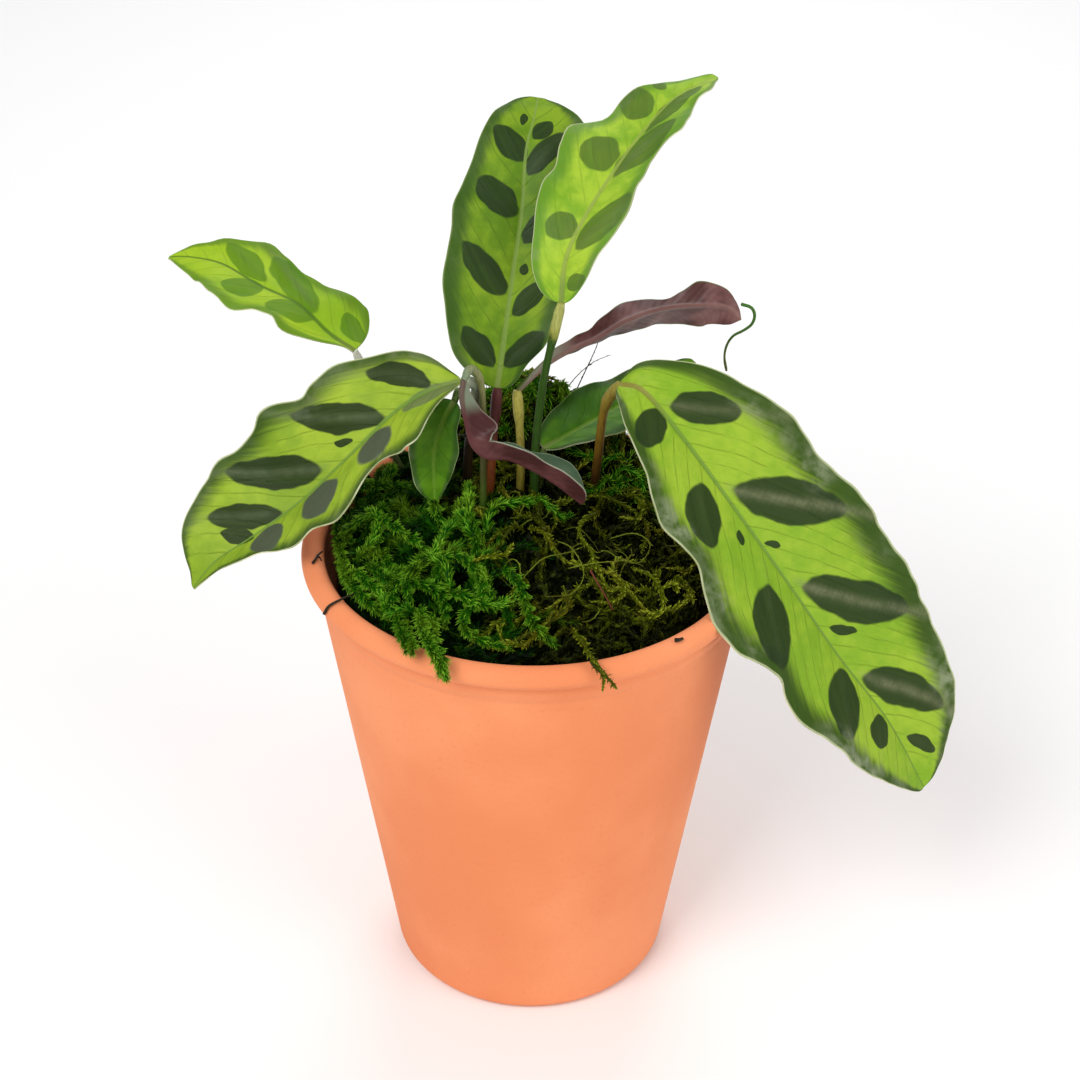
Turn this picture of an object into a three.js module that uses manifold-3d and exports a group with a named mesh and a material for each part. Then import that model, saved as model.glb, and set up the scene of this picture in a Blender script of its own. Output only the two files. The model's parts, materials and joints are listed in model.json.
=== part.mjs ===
// A young rattlesnake calathea in a plain terracotta pot, with moss over the soil.
//
// Millimetres, +Z up. The origin is the centre of the pot's foot, on the surface it stands on,
// and the side that is meant to be seen faces -Y. Every blade, every stalk, the pot, the soil
// and each kind of moss is one mesh.
import * as THREE from "three";
import { mergeVertices } from "three/addons/utils/BufferGeometryUtils.js";
import Module from "manifold-3d";

const wasm = await Module();
wasm.setup();

// ---------------------------------------------------------------- driving dimensions

const POT = {
  height: 134,
  rimRadius: 60,
  lipRadius: 3,
  collarRadius: 56.8,
  collarDrop: 10.3,
  ridge: 0.8,
  footRadius: 38,
  footRounding: 3,
  wall: 5,
  floor: 6,
  segments: 44,
};
const DRAIN = { count: 3, radius: 3.5, ring: 18 };
const GAP = 0.3; // between touching pieces
const SOIL_TOP = 121;
const SOIL_SEGMENTS = 32;
const HOLE_CLEARANCE = 0.35;

const BLADE = {
  thickness: 0.8,
  ribDepth: 0.7, // the midrib stands this far below the underside at the base
  ribShare: 0.07, // and takes this share of the half width
  endHalfWidth: 0.7,
  stations: 22,
};
const STALK_SIDES = 7;
const STALK_STEP = 9;

const MOSS = {
  radius: 51,
  rings: 11,
  segments: 36,
  edgeHeight: 129,
  lump: 1.3, // half height of the cushions
  lumpLength: 9,
};

// The rounded hills of the moss: centre, radius and height over its edge.
const HILLS = [
  { x: 4, y: 32, radius: 15, height: 13 },
  { x: -26, y: -14, radius: 17, height: 6 },
  { x: 22, y: -8, radius: 17, height: 5 },
  { x: -6, y: 2, radius: 14, height: 6 },
  { x: -32, y: 26, radius: 14, height: 8 },
  { x: -42, y: 2, radius: 12, height: 5 },
  { x: 28, y: 30, radius: 13, height: 7 },
  { x: -10, y: 38, radius: 12, height: 17 },
  { x: 10, y: 44, radius: 9, height: 12 },
];

const COLOURS = {
  terracotta: 0xe08a5c,
  soil: 0x2b2015,
  mossGreen: 0x4f8a1e,
  mossOlive: 0x5f6424,
  lime: 0x94b83a,
  limeBright: 0xa8d23c,
  limeDark: 0x5b8a26,
  maroon: 0x5f3733,
  stalkGreen: 0x6f7f35,
  stalkPale: 0xb4ac5c,
  stalkBrown: 0x7a4a2c,
  stalkMaroon: 0x55282a,
  stalkSilver: 0xc9cbb8,
};

// Each leaf: the points its midrib runs through, the way its upper face looks along it, the half
// width of its two halves from base to tip (measured against an ellipse, which has the same
// number all along), the rise of each half out of the flat in degrees, and the waves of its
// margins. Left and right are as seen from above with the tip pointing away. Its stalk runs
// from the soil to the foot of the blade.
const LEAVES = [
  {
    name: "tall_back",
    stations: 20,
    colour: COLOURS.lime,
    spine: [[-9, 11, 172], [-7, 16, 186], [-5, 22, 200], [-3, 29, 213], [-2, 38, 225], [0, 45, 231], [1, 51, 234]],
    face: [[0, -1, 0.2], [0, -1, 0.25], [0, -0.9, 0.4], [0, -0.7, 0.7]],
    left: [17, 20, 19, 18.2, 18.3, 17.3, 16.8, 17.3, 16, 14.8, 14.8, 16, 16],
    right: [13, 11, 13.8, 13, 13.6, 14, 14.6, 15.3, 16.5, 18.2, 20.5, 22, 13],
    rise: { left: [10, 8], right: [10, 8] },
    waves: { count: 4, left: 0.9, right: 0.9, phase: 0 },
    stalk: [[-12, 3, 111], [-11.5, 3.5, 130], [-10.5, 6, 152], [-9, 11, 172]],
    stalkRadius: 1.4,
    stalkColour: COLOURS.stalkMaroon,
  },
  {
    name: "upright_right",
    stations: 20,
    colour: COLOURS.lime,
    spine: [[7, 8, 198], [8, 11, 208], [12, 16, 216], [19, 25, 224], [27, 36, 231], [36, 45, 237], [46, 51, 240]],
    face: [[-0.2, -0.8, 0.5], [-0.3, -0.5, 0.8], [-0.35, -0.3, 0.9], [-0.3, -0.2, 0.9]],
    left: [13.5, 12.5, 12.5, 13.3, 14.4, 14.5, 16, 16.5, 11.5, 12, 9.5, 6, 4],
    right: [9, 10.5, 11, 11, 11.7, 11, 9.2, 9, 13.5, 13, 11, 13, 7],
    rise: { left: [13, 13], right: [13, 13] },
    waves: { count: 4, left: 1, right: 1, phase: 0.1 },
    stalk: [[2, 4, 111], [1.5, 5, 130], [0.5, 6.5, 150], [2.5, 8, 174], [7, 8, 198]],
    stalkRadius: 1.3,
    stalkColour: COLOURS.stalkGreen,
  },
  {
    name: "far_left",
    stations: 20,
    colour: COLOURS.limeBright,
    spine: [[-46, 23, 176], [-53, 27, 179], [-61, 33, 184], [-72, 40, 186], [-82, 46, 189], [-91, 50, 189], [-97, 52, 188]],
    face: [[0.4, -0.2, 0.88], [0.35, -0.25, 0.88], [0.2, -0.3, 0.9]],
    left: [4, 4, 10.5, 14.5, 12, 11.5, 14, 14, 13.5, 12, 10, 8, 4],
    right: [27, 24, 19.5, 16, 12, 10.5, 11.5, 14, 15, 11.5, 8.5, 7.5, 3],
    rise: { left: [6, 6], right: [6, 6] },
    waves: { count: 3, left: 0.8, right: 0.8, phase: 0.3 },
    stalk: [[-25, 17, 111], [-28, 18, 128], [-36, 21, 144], [-42, 23, 158], [-44, 23, 170], [-46, 23, 176]],
    stalkRadius: 1.1,
    stalkColour: COLOURS.stalkSilver,
  },
  {
    name: "low_left",
    colour: COLOURS.lime,
    spine: [[-18, 4, 178], [-26, 4, 175], [-35, 3, 169], [-47, -1, 158], [-59, -4, 147], [-71, -8, 139], [-81, -11, 133], [-87, -13, 126]],
    face: [[-0.2, -0.4, 0.9], [-0.35, -0.45, 0.75], [-0.35, -0.45, 0.75]],
    left: [9, 12, 19.5, 16, 10, 14, 15, 13, 13.5, 9, 7.5, 4, 4],
    right: [7, 17.5, 20, 23, 22, 22, 25, 24.5, 23, 25, 25, 20.5, 5],
    rise: { left: [16, 16], right: [16, 16] },
    waves: { count: 5, left: 1, right: 1, phase: 0.2 },
    stalk: [[-17, 9, 111], [-17, 9, 130], [-16.5, 8, 155], [-14.5, 6, 171], [-14.2, 4.5, 176.5], [-18, 4, 178]],
    stalkRadius: 1.5,
    stalkColour: COLOURS.stalkBrown,
  },
  {
    name: "long_right",
    colour: COLOURS.lime,
    spine: [[22, 8, 175], [28, 4, 175], [38, -2, 165], [52, -10, 148], [66, -17, 130], [79, -22, 112], [93, -26, 94], [104, -29, 74]],
    face: [[0.1, -0.6, 0.8], [0.5, -0.6, 0.6], [0.5, -0.6, 0.6]],
    left: [14, 27, 29.5, 30, 29, 29.5, 31, 31.5, 31.5, 32.5, 31.5, 33, 28],
    right: [20, 20.5, 22, 25, 23, 28, 29, 23.5, 26.5, 25, 24.5, 21, 14],
    rise: { left: [12, 12], right: [12, 12] },
    waves: { count: 5, left: 1.2, right: 1.2, phase: 0 },
    stalk: [[15, 13, 111], [15.5, 13, 130], [17, 11.5, 150], [18.5, 10, 167], [22, 8, 175]],
    stalkRadius: 1.5,
    stalkColour: COLOURS.stalkBrown,
  },
  {
    name: "purple_back",
    stations: 18,
    colour: COLOURS.maroon,
    spine: [[-4, 15, 169], [3, 20, 173.5], [9, 25, 175], [16.5, 31, 175.5], [24.5, 37, 177.5], [34, 43, 178], [44, 48, 176.5], [52, 52, 174], [56.5, 54.5, 169]],
    face: [[0.2, 0.3, 0.9], [-0.4, 0.9, 0.2], [-0.3, 0.8, -0.2], [-0.3, 0.8, -0.2], [-0.3, 0.8, -0.2]],
    left: [2, 2.5, 3.5, 4, 4, 5, 7.5, 9.2, 10.5, 11.5, 13, 15, 16],
    right: [2, 2, 2.2, 2.4, 2.8, 4, 5.2, 5, 3.2, 6, 11, 11, 8],
    rise: { left: [20, 35, 50, 50, 30], right: [35, 45, 55, 60, 40] },
    waves: { count: 3, left: 0.3, right: 0.3, phase: 0 },
    stalk: [[-4, 7, 111], [-3.5, 7, 130], [-3, 10, 152], [-4, 15, 169]],
    stalkRadius: 1.4,
    stalkColour: COLOURS.stalkPale,
  },
  {
    name: "curled_centre",
    stations: 18,
    colour: COLOURS.maroon,
    spine: [[-17, -2, 181.5], [-17.5, -4, 178], [-16.5, -6, 172.5], [-15, -8, 167], [-11.5, -9.5, 164], [-6, -11, 164.5], [0.5, -12.5, 162], [6.5, -14, 158.5], [12.5, -15.5, 154]],
    face: [[0.6, 0.8, 0.1], [0.6, 0.8, 0.1], [0.5, 0.4, 0.7], [0.3, 0.1, 0.95], [0.3, 0.1, 0.95], [0.3, 0.1, 0.95]],
    left: [4, 6, 8, 8, 6.5, 5, 4, 3.8, 4.2, 6, 8.5, 8.5, 8],
    right: [3.8, 4.2, 5.2, 8, 6, 4.8, 4.5, 4.8, 5.4, 6, 7, 9, 12],
    rise: { left: [50, 50], right: [40, 40, 58, 62, 62, 62] },
    waves: { count: 3, left: 0.2, right: 0.2, phase: 0 },
    stalk: [[-13, -1.5, 111], [-13, -1.5, 130], [-12.5, 0, 152], [-12.5, 2.5, 170], [-13.2, 2.8, 179], [-15.5, 0.5, 183.5], [-17, -2, 181.5]],
    stalkRadius: 1.1,
    stalkColour: COLOURS.stalkMaroon,
  },
  {
    name: "small_right",
    stations: 12,
    colour: COLOURS.limeDark,
    spine: [[3, 16, 151], [10, 22, 152], [19, 30, 153], [28, 38, 154], [37, 44, 157], [44, 49, 159]],
    face: [[-0.1, -0.3, 0.9], [-0.1, -0.3, 0.9]],
    left: [11, 10.5, 10.5, 10.5, 9.5, 8.5, 8, 6, 5],
    right: [6, 7, 9.5, 9.5, 8.5, 7, 6, 6, 5],
    rise: { left: [12, 12], right: [12, 12] },
    waves: { count: 3, left: 0.5, right: 0.5, phase: 0 },
    stalk: [[4, 11, 111], [3.5, 11, 125], [2.5, 12.5, 142], [3, 16, 151]],
    stalkRadius: 1,
    stalkColour: COLOURS.stalkGreen,
  },
  {
    name: "small_left",
    stations: 10,
    colour: COLOURS.limeDark,
    spine: [[-20, 6, 171], [-23, 3, 166], [-25, 0, 159], [-25, -3, 147]],
    face: [[0, -0.9, 0.4], [0, -0.9, 0.4]],
    left: [6, 5, 4.5, 5.5, 6, 5.5, 5, 4, 3],
    right: [8, 7, 6.5, 6.5, 6.5, 6, 6, 6, 5],
    rise: { left: [8, 8], right: [20, 20] },
    waves: { count: 2, left: 0.3, right: 0.3, phase: 0 },
    stalk: [[-23, 9, 111], [-23, 9, 130], [-22.5, 10, 152], [-20.5, 10, 166], [-19, 8.5, 172.5], [-20, 6, 171]],
    stalkRadius: 0.9,
    stalkColour: COLOURS.stalkGreen,
  },
];

// The dried thread that curls back from the tip of the purple leaf.
const TENDRIL = {
  route: [
    [56.8, 57, 172.3],
    [59.6, 57.5, 171],
    [60.6, 57, 168.8],
    [59.8, 56.5, 166.3],
    [57.4, 56, 164.6],
    [55, 56, 163.1],
    [53.4, 56, 160.3],
    [52.9, 56, 156.5],
    [53.7, 56, 152.1],
  ],
  radius: 0.5,
  sides: 5,
  step: 2.5,
};

// Long moss shoots that lean out of the mat: foot, tip, how far the middle lifts, radius at
// the foot. Three of them hang over the pot's rim.
const GREEN_SHOOTS = [
  { foot: [-24, -42], tip: [-28, -56, 128], lift: 21, radius: 1.4 },
  { foot: [-17, -45], tip: [-21, -59.5, 129], lift: 18, radius: 1.3 },
  { foot: [-40, -26], tip: [-44, -36, 136], lift: 4, radius: 1.6 },
  { foot: [-18, -30], tip: [-14, -42, 136], lift: 5, radius: 1.6 },
];
const OLIVE_SHOOTS = [
  { foot: [11, -44], tip: [17, -60, 130], lift: 19, radius: 1.3 },
  { foot: [36, -20], tip: [40, -34, 138], lift: 5, radius: 1.2 },
  { foot: [12, 40], tip: [24, 47, 163], lift: 4, radius: 1 },
  { foot: [2, 37], tip: [-5, 40, 152], lift: 2, radius: 1.2 },
  { foot: [9, 34], tip: [11, 38, 154], lift: 3, radius: 1.2 },
];
const TUFTS = { green: 24, olive: 26, length: 8, radius: 1.5, rootDepth: 2.5, seed: 41 };

// ---------------------------------------------------------------- solids and meshes

/** A closed geometry as a solid that can be joined and cut. */
function solidFrom(geometry) {
  const bare = geometry.clone();
  bare.deleteAttribute("normal");
  bare.deleteAttribute("uv");
  const merged = mergeVertices(bare, 1e-3);
  return new wasm.Manifold(
    new wasm.Mesh({
      numProp: 3,
      vertProperties: new Float32Array(merged.attributes.position.array),
      triVerts: new Uint32Array(merged.index.array),
    }),
  );
}

/** The largest body of a solid, without the scraps that a cut leaves. */
function mainBody(solid) {
  const bodies = solid.decompose();
  return bodies.reduce((best, body) => (body.volume() > best.volume() ? body : best));
}

/** A solid as a three.js geometry. */
function geometryFrom(solid) {
  const mesh = solid.getMesh();
  const geometry = new THREE.BufferGeometry();
  geometry.setAttribute("position", new THREE.BufferAttribute(mesh.vertProperties, 3));
  geometry.setIndex(new THREE.BufferAttribute(mesh.triVerts, 1));
  geometry.computeVertexNormals();
  return geometry;
}

/** A named mesh with a finish of its own. */
function piece(name, geometry, color, roughness) {
  const material = new THREE.MeshStandardMaterial({ color, roughness, metalness: 0 });
  const mesh = new THREE.Mesh(geometry, material);
  mesh.name = name;
  return mesh;
}

const vector = ([x, y, z]) => new THREE.Vector3(x, y, z);
const curveThrough = (points) => new THREE.CatmullRomCurve3(points.map(vector), false, "catmullrom", 0.5);

/** A number or a vector that runs smoothly through evenly spaced values, at the share u. */
function along(values, u) {
  const last = values.length - 1;
  const place = Math.min(Math.max(u, 0), 1) * last;
  const i = Math.min(Math.floor(place), last - 1);
  const t = place - i;
  const before = i > 0 ? values[i - 1] : 2 * values[0] - values[1];
  const after = i < last - 1 ? values[i + 2] : 2 * values[last] - values[last - 1];
  const [a, b] = [values[i], values[i + 1]];
  const square = (2 * before - 5 * a + 4 * b - after) * t * t;
  const cube = (3 * a - before - 3 * b + after) * t * t * t;
  return 0.5 * (2 * a + (b - before) * t + square + cube);
}

/** The direction that runs smoothly through evenly spaced directions, at the share u. */
function directionAlong(directions, u) {
  const part = (axis) => along(directions.map((d) => d[axis]), u);
  return new THREE.Vector3(part(0), part(1), part(2)).normalize();
}

// ---------------------------------------------------------------- pot

/** The pot's section, from the middle of its floor round the lip and back to the axis. */
function potProfile() {
  const points = [new THREE.Vector2(0, 0)];
  const collarZ = POT.height - POT.collarDrop;
  const wallSlope = (POT.collarRadius - POT.ridge - POT.footRadius) / collarZ;
  const outer = (z) => POT.footRadius + wallSlope * z;
  for (let i = 0; i <= 3; i++) {
    const angle = (i / 3) * (Math.PI / 2);
    const r = outer(POT.footRounding * (1 - Math.cos(angle))) - POT.footRounding * (1 - Math.sin(angle));
    points.push(new THREE.Vector2(r, POT.footRounding * (1 - Math.cos(angle))));
  }
  points.push(new THREE.Vector2(outer(collarZ / 2), collarZ / 2));
  points.push(new THREE.Vector2(outer(collarZ - 0.6), collarZ - 0.6));
  points.push(new THREE.Vector2(POT.collarRadius, collarZ + 0.4));
  const lipCentre = new THREE.Vector2(POT.rimRadius - POT.lipRadius, POT.height - POT.lipRadius);
  for (let i = 0; i <= 6; i++) {
    const angle = -0.35 + (i / 6) * (Math.PI + 0.7);
    const r = lipCentre.x + POT.lipRadius * Math.cos(angle);
    points.push(new THREE.Vector2(r, lipCentre.y + POT.lipRadius * Math.sin(angle)));
  }
  points.push(new THREE.Vector2(innerRadius(collarZ), collarZ));
  points.push(new THREE.Vector2(innerRadius(POT.floor + 3), POT.floor + 3));
  points.push(new THREE.Vector2(innerRadius(POT.floor) - 3, POT.floor));
  points.push(new THREE.Vector2(0, POT.floor));
  return points;
}

/** The radius of the pot's inside at a height. */
function innerRadius(z) {
  const collarZ = POT.height - POT.collarDrop;
  return POT.footRadius + ((POT.collarRadius - POT.footRadius) * z) / collarZ - POT.wall;
}

/** The pot: thrown round, with its drain holes about the middle of the floor. */
function pot() {
  const lathe = new THREE.LatheGeometry(potProfile(), POT.segments);
  lathe.rotateX(Math.PI / 2);
  let solid = solidFrom(lathe);
  for (let i = 0; i < DRAIN.count; i++) {
    const angle = (i / DRAIN.count) * 2 * Math.PI + Math.PI / 2;
    const drill = new THREE.CylinderGeometry(DRAIN.radius, DRAIN.radius, 3 * POT.floor, 14);
    drill.rotateX(Math.PI / 2);
    drill.translate(DRAIN.ring * Math.cos(angle), DRAIN.ring * Math.sin(angle), 0);
    solid = solid.subtract(solidFrom(drill));
  }
  return solid;
}

// ---------------------------------------------------------------- stalks

/** A round stalk through points. */
function tubeThrough(points, radius, sides, step = STALK_STEP) {
  const curve = curveThrough(points);
  const section = new THREE.Shape();
  for (let i = 0; i < sides; i++) {
    const angle = (i / sides) * 2 * Math.PI;
    const [x, y] = [radius * Math.cos(angle), radius * Math.sin(angle)];
    if (i === 0) section.moveTo(x, y);
    else section.lineTo(x, y);
  }
  section.closePath();
  const steps = Math.max(4, Math.round(curve.getLength() / step));
  return new THREE.ExtrudeGeometry(section, { steps, bevelEnabled: false, extrudePath: curve });
}

/** A leaf's stalk, which ends face to face with the foot of its blade. */
function stalkGeometry(leaf) {
  const foot = vector(leaf.stalk[leaf.stalk.length - 1]);
  const before = vector(leaf.stalk[leaf.stalk.length - 2]);
  const spine = curveThrough(leaf.spine);
  const out = spine.getTangentAt(0);
  const back = GAP + leaf.stalkRadius * Math.sin(out.angleTo(foot.clone().sub(before)));
  const end = foot.addScaledVector(out, -back);
  const points = [...leaf.stalk.slice(0, -1), end.toArray()];
  return tubeThrough(points, leaf.stalkRadius, STALK_SIDES);
}

/** The plain hole that a stalk stands in. */
function stalkHole(leaf) {
  const first = leaf.stalk[0];
  const points = [[first[0], first[1], first[2] - HOLE_CLEARANCE], ...leaf.stalk.slice(1, 3)];
  return solidFrom(tubeThrough(points, leaf.stalkRadius + HOLE_CLEARANCE, STALK_SIDES + 3));
}

// ---------------------------------------------------------------- blades

/** Where the middle of a blade's sheet lies at the share u along it and v across it. */
function bladePoint(leaf, spine, u, v) {
  const centre = spine.getPointAt(u);
  const forward = spine.getTangentAt(u);
  const right = forward.clone().cross(directionAlong(leaf.face, u)).normalize();
  const up = right.clone().cross(forward);
  const side = v < 0 ? "left" : "right";
  const share = Math.abs(v);
  const ellipse = 2 * Math.sqrt(u * (1 - u));
  const reach = share * (along(leaf[side], u) * ellipse + BLADE.endHalfWidth);
  const rise = THREE.MathUtils.degToRad(along(leaf.rise[side], u));
  const turn = leaf.waves.count * u + leaf.waves.phase + (side === "left" ? 0 : 0.5);
  const wave = leaf.waves[side] * share * share * ellipse * Math.sin(2 * Math.PI * turn);
  centre.addScaledVector(right, Math.sign(v) * reach * Math.cos(rise));
  return centre.addScaledVector(up, reach * Math.sin(rise) + wave);
}

/** The way a blade's upper face looks at u, v: the mean of its halves on the midrib. */
function bladeNormal(leaf, spine, u, v) {
  const step = 0.004;
  const [u0, u1] = [Math.max(u - step, 0), Math.min(u + step, 1)];
  const ahead = bladePoint(leaf, spine, u1, v).sub(bladePoint(leaf, spine, u0, v));
  const [v0, v1] = v === 0 ? [-0.1, 0.1] : [v - 0.05 * Math.sign(v), v];
  const across = bladePoint(leaf, spine, u, Math.max(v0, v1));
  across.sub(bladePoint(leaf, spine, u, Math.min(v0, v1)));
  return across.cross(ahead).normalize();
}

/** A blade as one closed sheet, with its midrib standing out of the underside. */
function bladeGeometry(leaf) {
  const spine = curveThrough(leaf.spine);
  const rib = BLADE.ribShare;
  const shares = [-1, -0.7, -0.38, -rib, 0, rib, 0.38, 0.7, 1];
  const rows = leaf.stations ?? BLADE.stations;
  const columns = shares.length;
  const positions = [];
  for (const face of [1, -1]) {
    for (let i = 0; i < rows; i++) {
      const u = 0.5 - 0.5 * Math.cos((Math.PI * i) / (rows - 1));
      shares.forEach((v) => {
        const ribDepth = face < 0 && v === 0 ? BLADE.ribDepth * (1 - 0.8 * u) : 0;
        const offset = face * (BLADE.thickness / 2 + ribDepth);
        const point = bladePoint(leaf, spine, u, v);
        point.addScaledVector(bladeNormal(leaf, spine, u, v), offset);
        positions.push(point.x, point.y, point.z);
      });
    }
  }
  const top = (i, j) => i * columns + j;
  const under = (i, j) => (rows + i) * columns + j;
  const index = [];
  for (let i = 0; i < rows - 1; i++) {
    for (let j = 0; j < columns - 1; j++) {
      index.push(top(i, j), top(i, j + 1), top(i + 1, j + 1), top(i, j), top(i + 1, j + 1), top(i + 1, j));
      index.push(under(i, j), under(i + 1, j + 1), under(i, j + 1));
      index.push(under(i, j), under(i + 1, j), under(i + 1, j + 1));
    }
    const end = columns - 1;
    index.push(top(i, 0), top(i + 1, 0), under(i, 0), top(i + 1, 0), under(i + 1, 0), under(i, 0));
    index.push(top(i, end), under(i, end), top(i + 1, end));
    index.push(top(i + 1, end), under(i, end), under(i + 1, end));
  }
  const tip = rows - 1;
  for (let j = 0; j < columns - 1; j++) {
    index.push(top(0, j), under(0, j), top(0, j + 1), top(0, j + 1), under(0, j), under(0, j + 1));
    index.push(top(tip, j), top(tip, j + 1), under(tip, j));
    index.push(top(tip, j + 1), under(tip, j + 1), under(tip, j));
  }
  const geometry = new THREE.BufferGeometry();
  geometry.setAttribute("position", new THREE.Float32BufferAttribute(positions, 3));
  geometry.setIndex(index);
  geometry.computeVertexNormals();
  return geometry;
}

// ---------------------------------------------------------------- soil and moss

/** The soil: it fills the pot to just below the rim, with a hole for each stalk. */
function soil(holes) {
  const bottom = POT.floor + GAP;
  const profile = [
    new THREE.Vector2(0, bottom),
    new THREE.Vector2(innerRadius(bottom) - 3 - 2 * GAP, bottom),
    new THREE.Vector2(innerRadius(bottom + 4) - GAP - 0.3, bottom + 4),
    new THREE.Vector2(innerRadius(SOIL_TOP) - GAP - 0.3, SOIL_TOP - 1),
    new THREE.Vector2(innerRadius(SOIL_TOP) - 2, SOIL_TOP),
    new THREE.Vector2(0, SOIL_TOP),
  ];
  const lathe = new THREE.LatheGeometry(profile, SOIL_SEGMENTS);
  lathe.rotateX(Math.PI / 2);
  return holes.reduce((left, hole) => left.subtract(hole), solidFrom(lathe));
}

/** The height of the moss over a point, without its shoots. */
function mossHeight(x, y) {
  const hills = HILLS.map((hill) => {
    const square = ((x - hill.x) ** 2 + (y - hill.y) ** 2) / (2 * hill.radius ** 2);
    return hill.height * Math.exp(-square);
  });
  const wave = (2 * Math.PI) / MOSS.lumpLength;
  const lumps = MOSS.lump * Math.sin(wave * x + 1.7 * Math.sin(0.21 * y)) * Math.cos(wave * y + 0.19 * x);
  const edge = 1 - (Math.hypot(x, y) / MOSS.radius) ** 8;
  return MOSS.edgeHeight + hills.reduce((sum, height) => sum + height, 0) * edge + lumps;
}

/** The whole mat of moss as a closed disc with a lumpy top. */
function mossMat() {
  const bottom = SOIL_TOP + GAP;
  const positions = [0, 0, mossHeight(0, 0), 0, 0, bottom];
  const index = [];
  const at = (ring, k) => 2 + ring * MOSS.segments + (k % MOSS.segments);
  for (let ring = 0; ring < MOSS.rings; ring++) {
    for (let k = 0; k < MOSS.segments; k++) {
      const r = (MOSS.radius * (ring + 1)) / MOSS.rings;
      const angle = ((k + 0.5 * (ring % 2)) / MOSS.segments) * 2 * Math.PI;
      const [x, y] = [r * Math.cos(angle), r * Math.sin(angle)];
      positions.push(x, y, mossHeight(x, y));
      if (ring === 0) {
        index.push(0, at(0, k), at(0, k + 1));
        continue;
      }
      const [a, b] = [at(ring - 1, k), at(ring - 1, k + 1)];
      const [c, d] = [at(ring, k), at(ring, k + 1)];
      if (ring % 2) index.push(a, c, b, c, d, b);
      else index.push(a, c, d, a, d, b);
    }
  }
  const outer = MOSS.rings - 1;
  const foot = 2 + MOSS.rings * MOSS.segments;
  for (let k = 0; k < MOSS.segments; k++) {
    const angle = ((k + 0.5 * (outer % 2)) / MOSS.segments) * 2 * Math.PI;
    const r = Math.min(MOSS.radius, innerRadius(bottom) - GAP - 0.5);
    positions.push(r * Math.cos(angle), r * Math.sin(angle), bottom);
    const [a, b] = [foot + k, foot + ((k + 1) % MOSS.segments)];
    index.push(1, b, a, at(outer, k), a, b, at(outer, k), b, at(outer, k + 1));
  }
  const geometry = new THREE.BufferGeometry();
  geometry.setAttribute("position", new THREE.Float32BufferAttribute(positions, 3));
  geometry.setIndex(index);
  return solidFrom(geometry);
}

/** Everything to the left and front, where the bright moss grows, with its wavy edge. */
function greenSide(shift) {
  const edge = [[-9, -70], [-9, -50], [-6, -38], [-10, -26], [-8, -14], [-14, -4], [-20, 6], [-27, 14], [-34, 30], [-38, 70]];
  const shape = new THREE.Shape();
  shape.moveTo(-90, -70);
  shape.lineTo(edge[0][0] + shift, edge[0][1]);
  shape.splineThru(edge.slice(1).map(([x, y]) => new THREE.Vector2(x + shift, y)));
  shape.lineTo(-90, 70);
  shape.closePath();
  const curtain = new THREE.ExtrudeGeometry(shape, { depth: 120, bevelEnabled: false, curveSegments: 2 });
  curtain.translate(0, 0, 100);
  return solidFrom(curtain);
}

/** A moss shoot: a slim three-sided spike that arches from its foot to its tip. */
function shoot({ foot: [x, y], tip, lift, radius }) {
  const from = new THREE.Vector3(x, y, mossHeight(x, y) - TUFTS.rootDepth);
  const to = vector(tip);
  const middle = from.clone().lerp(to, 0.5).add(new THREE.Vector3(0, 0, lift));
  const curve = new THREE.QuadraticBezierCurve3(from, middle, to);
  const sections = 4;
  const positions = [];
  for (let i = 0; i < sections; i++) {
    const t = i / (sections - 1);
    const centre = curve.getPoint(t);
    const ahead = curve.getTangent(t);
    const side = new THREE.Vector3(0, 0, 1).cross(ahead).normalize();
    if (side.lengthSq() < 0.5) side.set(1, 0, 0);
    const up = ahead.clone().cross(side);
    for (let k = 0; k < 3; k++) {
      const angle = (k / 3) * 2 * Math.PI + Math.PI / 2;
      const r = radius * (1 - 0.7 * t);
      const point = centre.clone().addScaledVector(side, r * Math.cos(angle));
      point.addScaledVector(up, r * Math.sin(angle));
      positions.push(point.x, point.y, point.z);
    }
  }
  const index = [0, 2, 1];
  for (let i = 0; i < sections - 1; i++) {
    for (let k = 0; k < 3; k++) {
      const [a, b] = [3 * i + k, 3 * i + ((k + 1) % 3)];
      index.push(a, b, b + 3, a, b + 3, a + 3);
    }
  }
  const end = 3 * (sections - 1);
  index.push(end, end + 1, end + 2);
  const geometry = new THREE.BufferGeometry();
  geometry.setAttribute("position", new THREE.Float32BufferAttribute(positions, 3));
  geometry.setIndex(index);
  return solidFrom(geometry);
}

/** A small seeded generator of numbers between 0 and 1. */
function seeded(seed) {
  let state = seed;
  return () => {
    state = (state * 1664525 + 1013904223) % 4294967296;
    return state / 4294967296;
  };
}

/** Short tufts spread over the mat, leaning outwards, on the side that inside() accepts. */
function tufts(count, inside, draw) {
  const made = [];
  while (made.length < count) {
    const r = (MOSS.radius - 5) * Math.sqrt(draw());
    const angle = 2 * Math.PI * draw();
    const [x, y] = [r * Math.cos(angle), r * Math.sin(angle)];
    const heading = angle + 1.6 * (draw() - 0.5);
    const reach = TUFTS.length * (0.5 + 0.5 * draw());
    const height = TUFTS.length * (0.25 + 0.4 * draw());
    if (!inside(x, y)) continue;
    const z = mossHeight(x, y);
    const tip = [x + reach * Math.cos(heading), y + reach * Math.sin(heading)];
    if (Math.hypot(tip[0], tip[1]) > MOSS.radius - 2) continue;
    const tipZ = Math.max(z, mossHeight(tip[0], tip[1])) + height;
    made.push({ foot: [x, y], tip: [...tip, tipZ], lift: 1.5, radius: TUFTS.radius });
  }
  return made;
}

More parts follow.
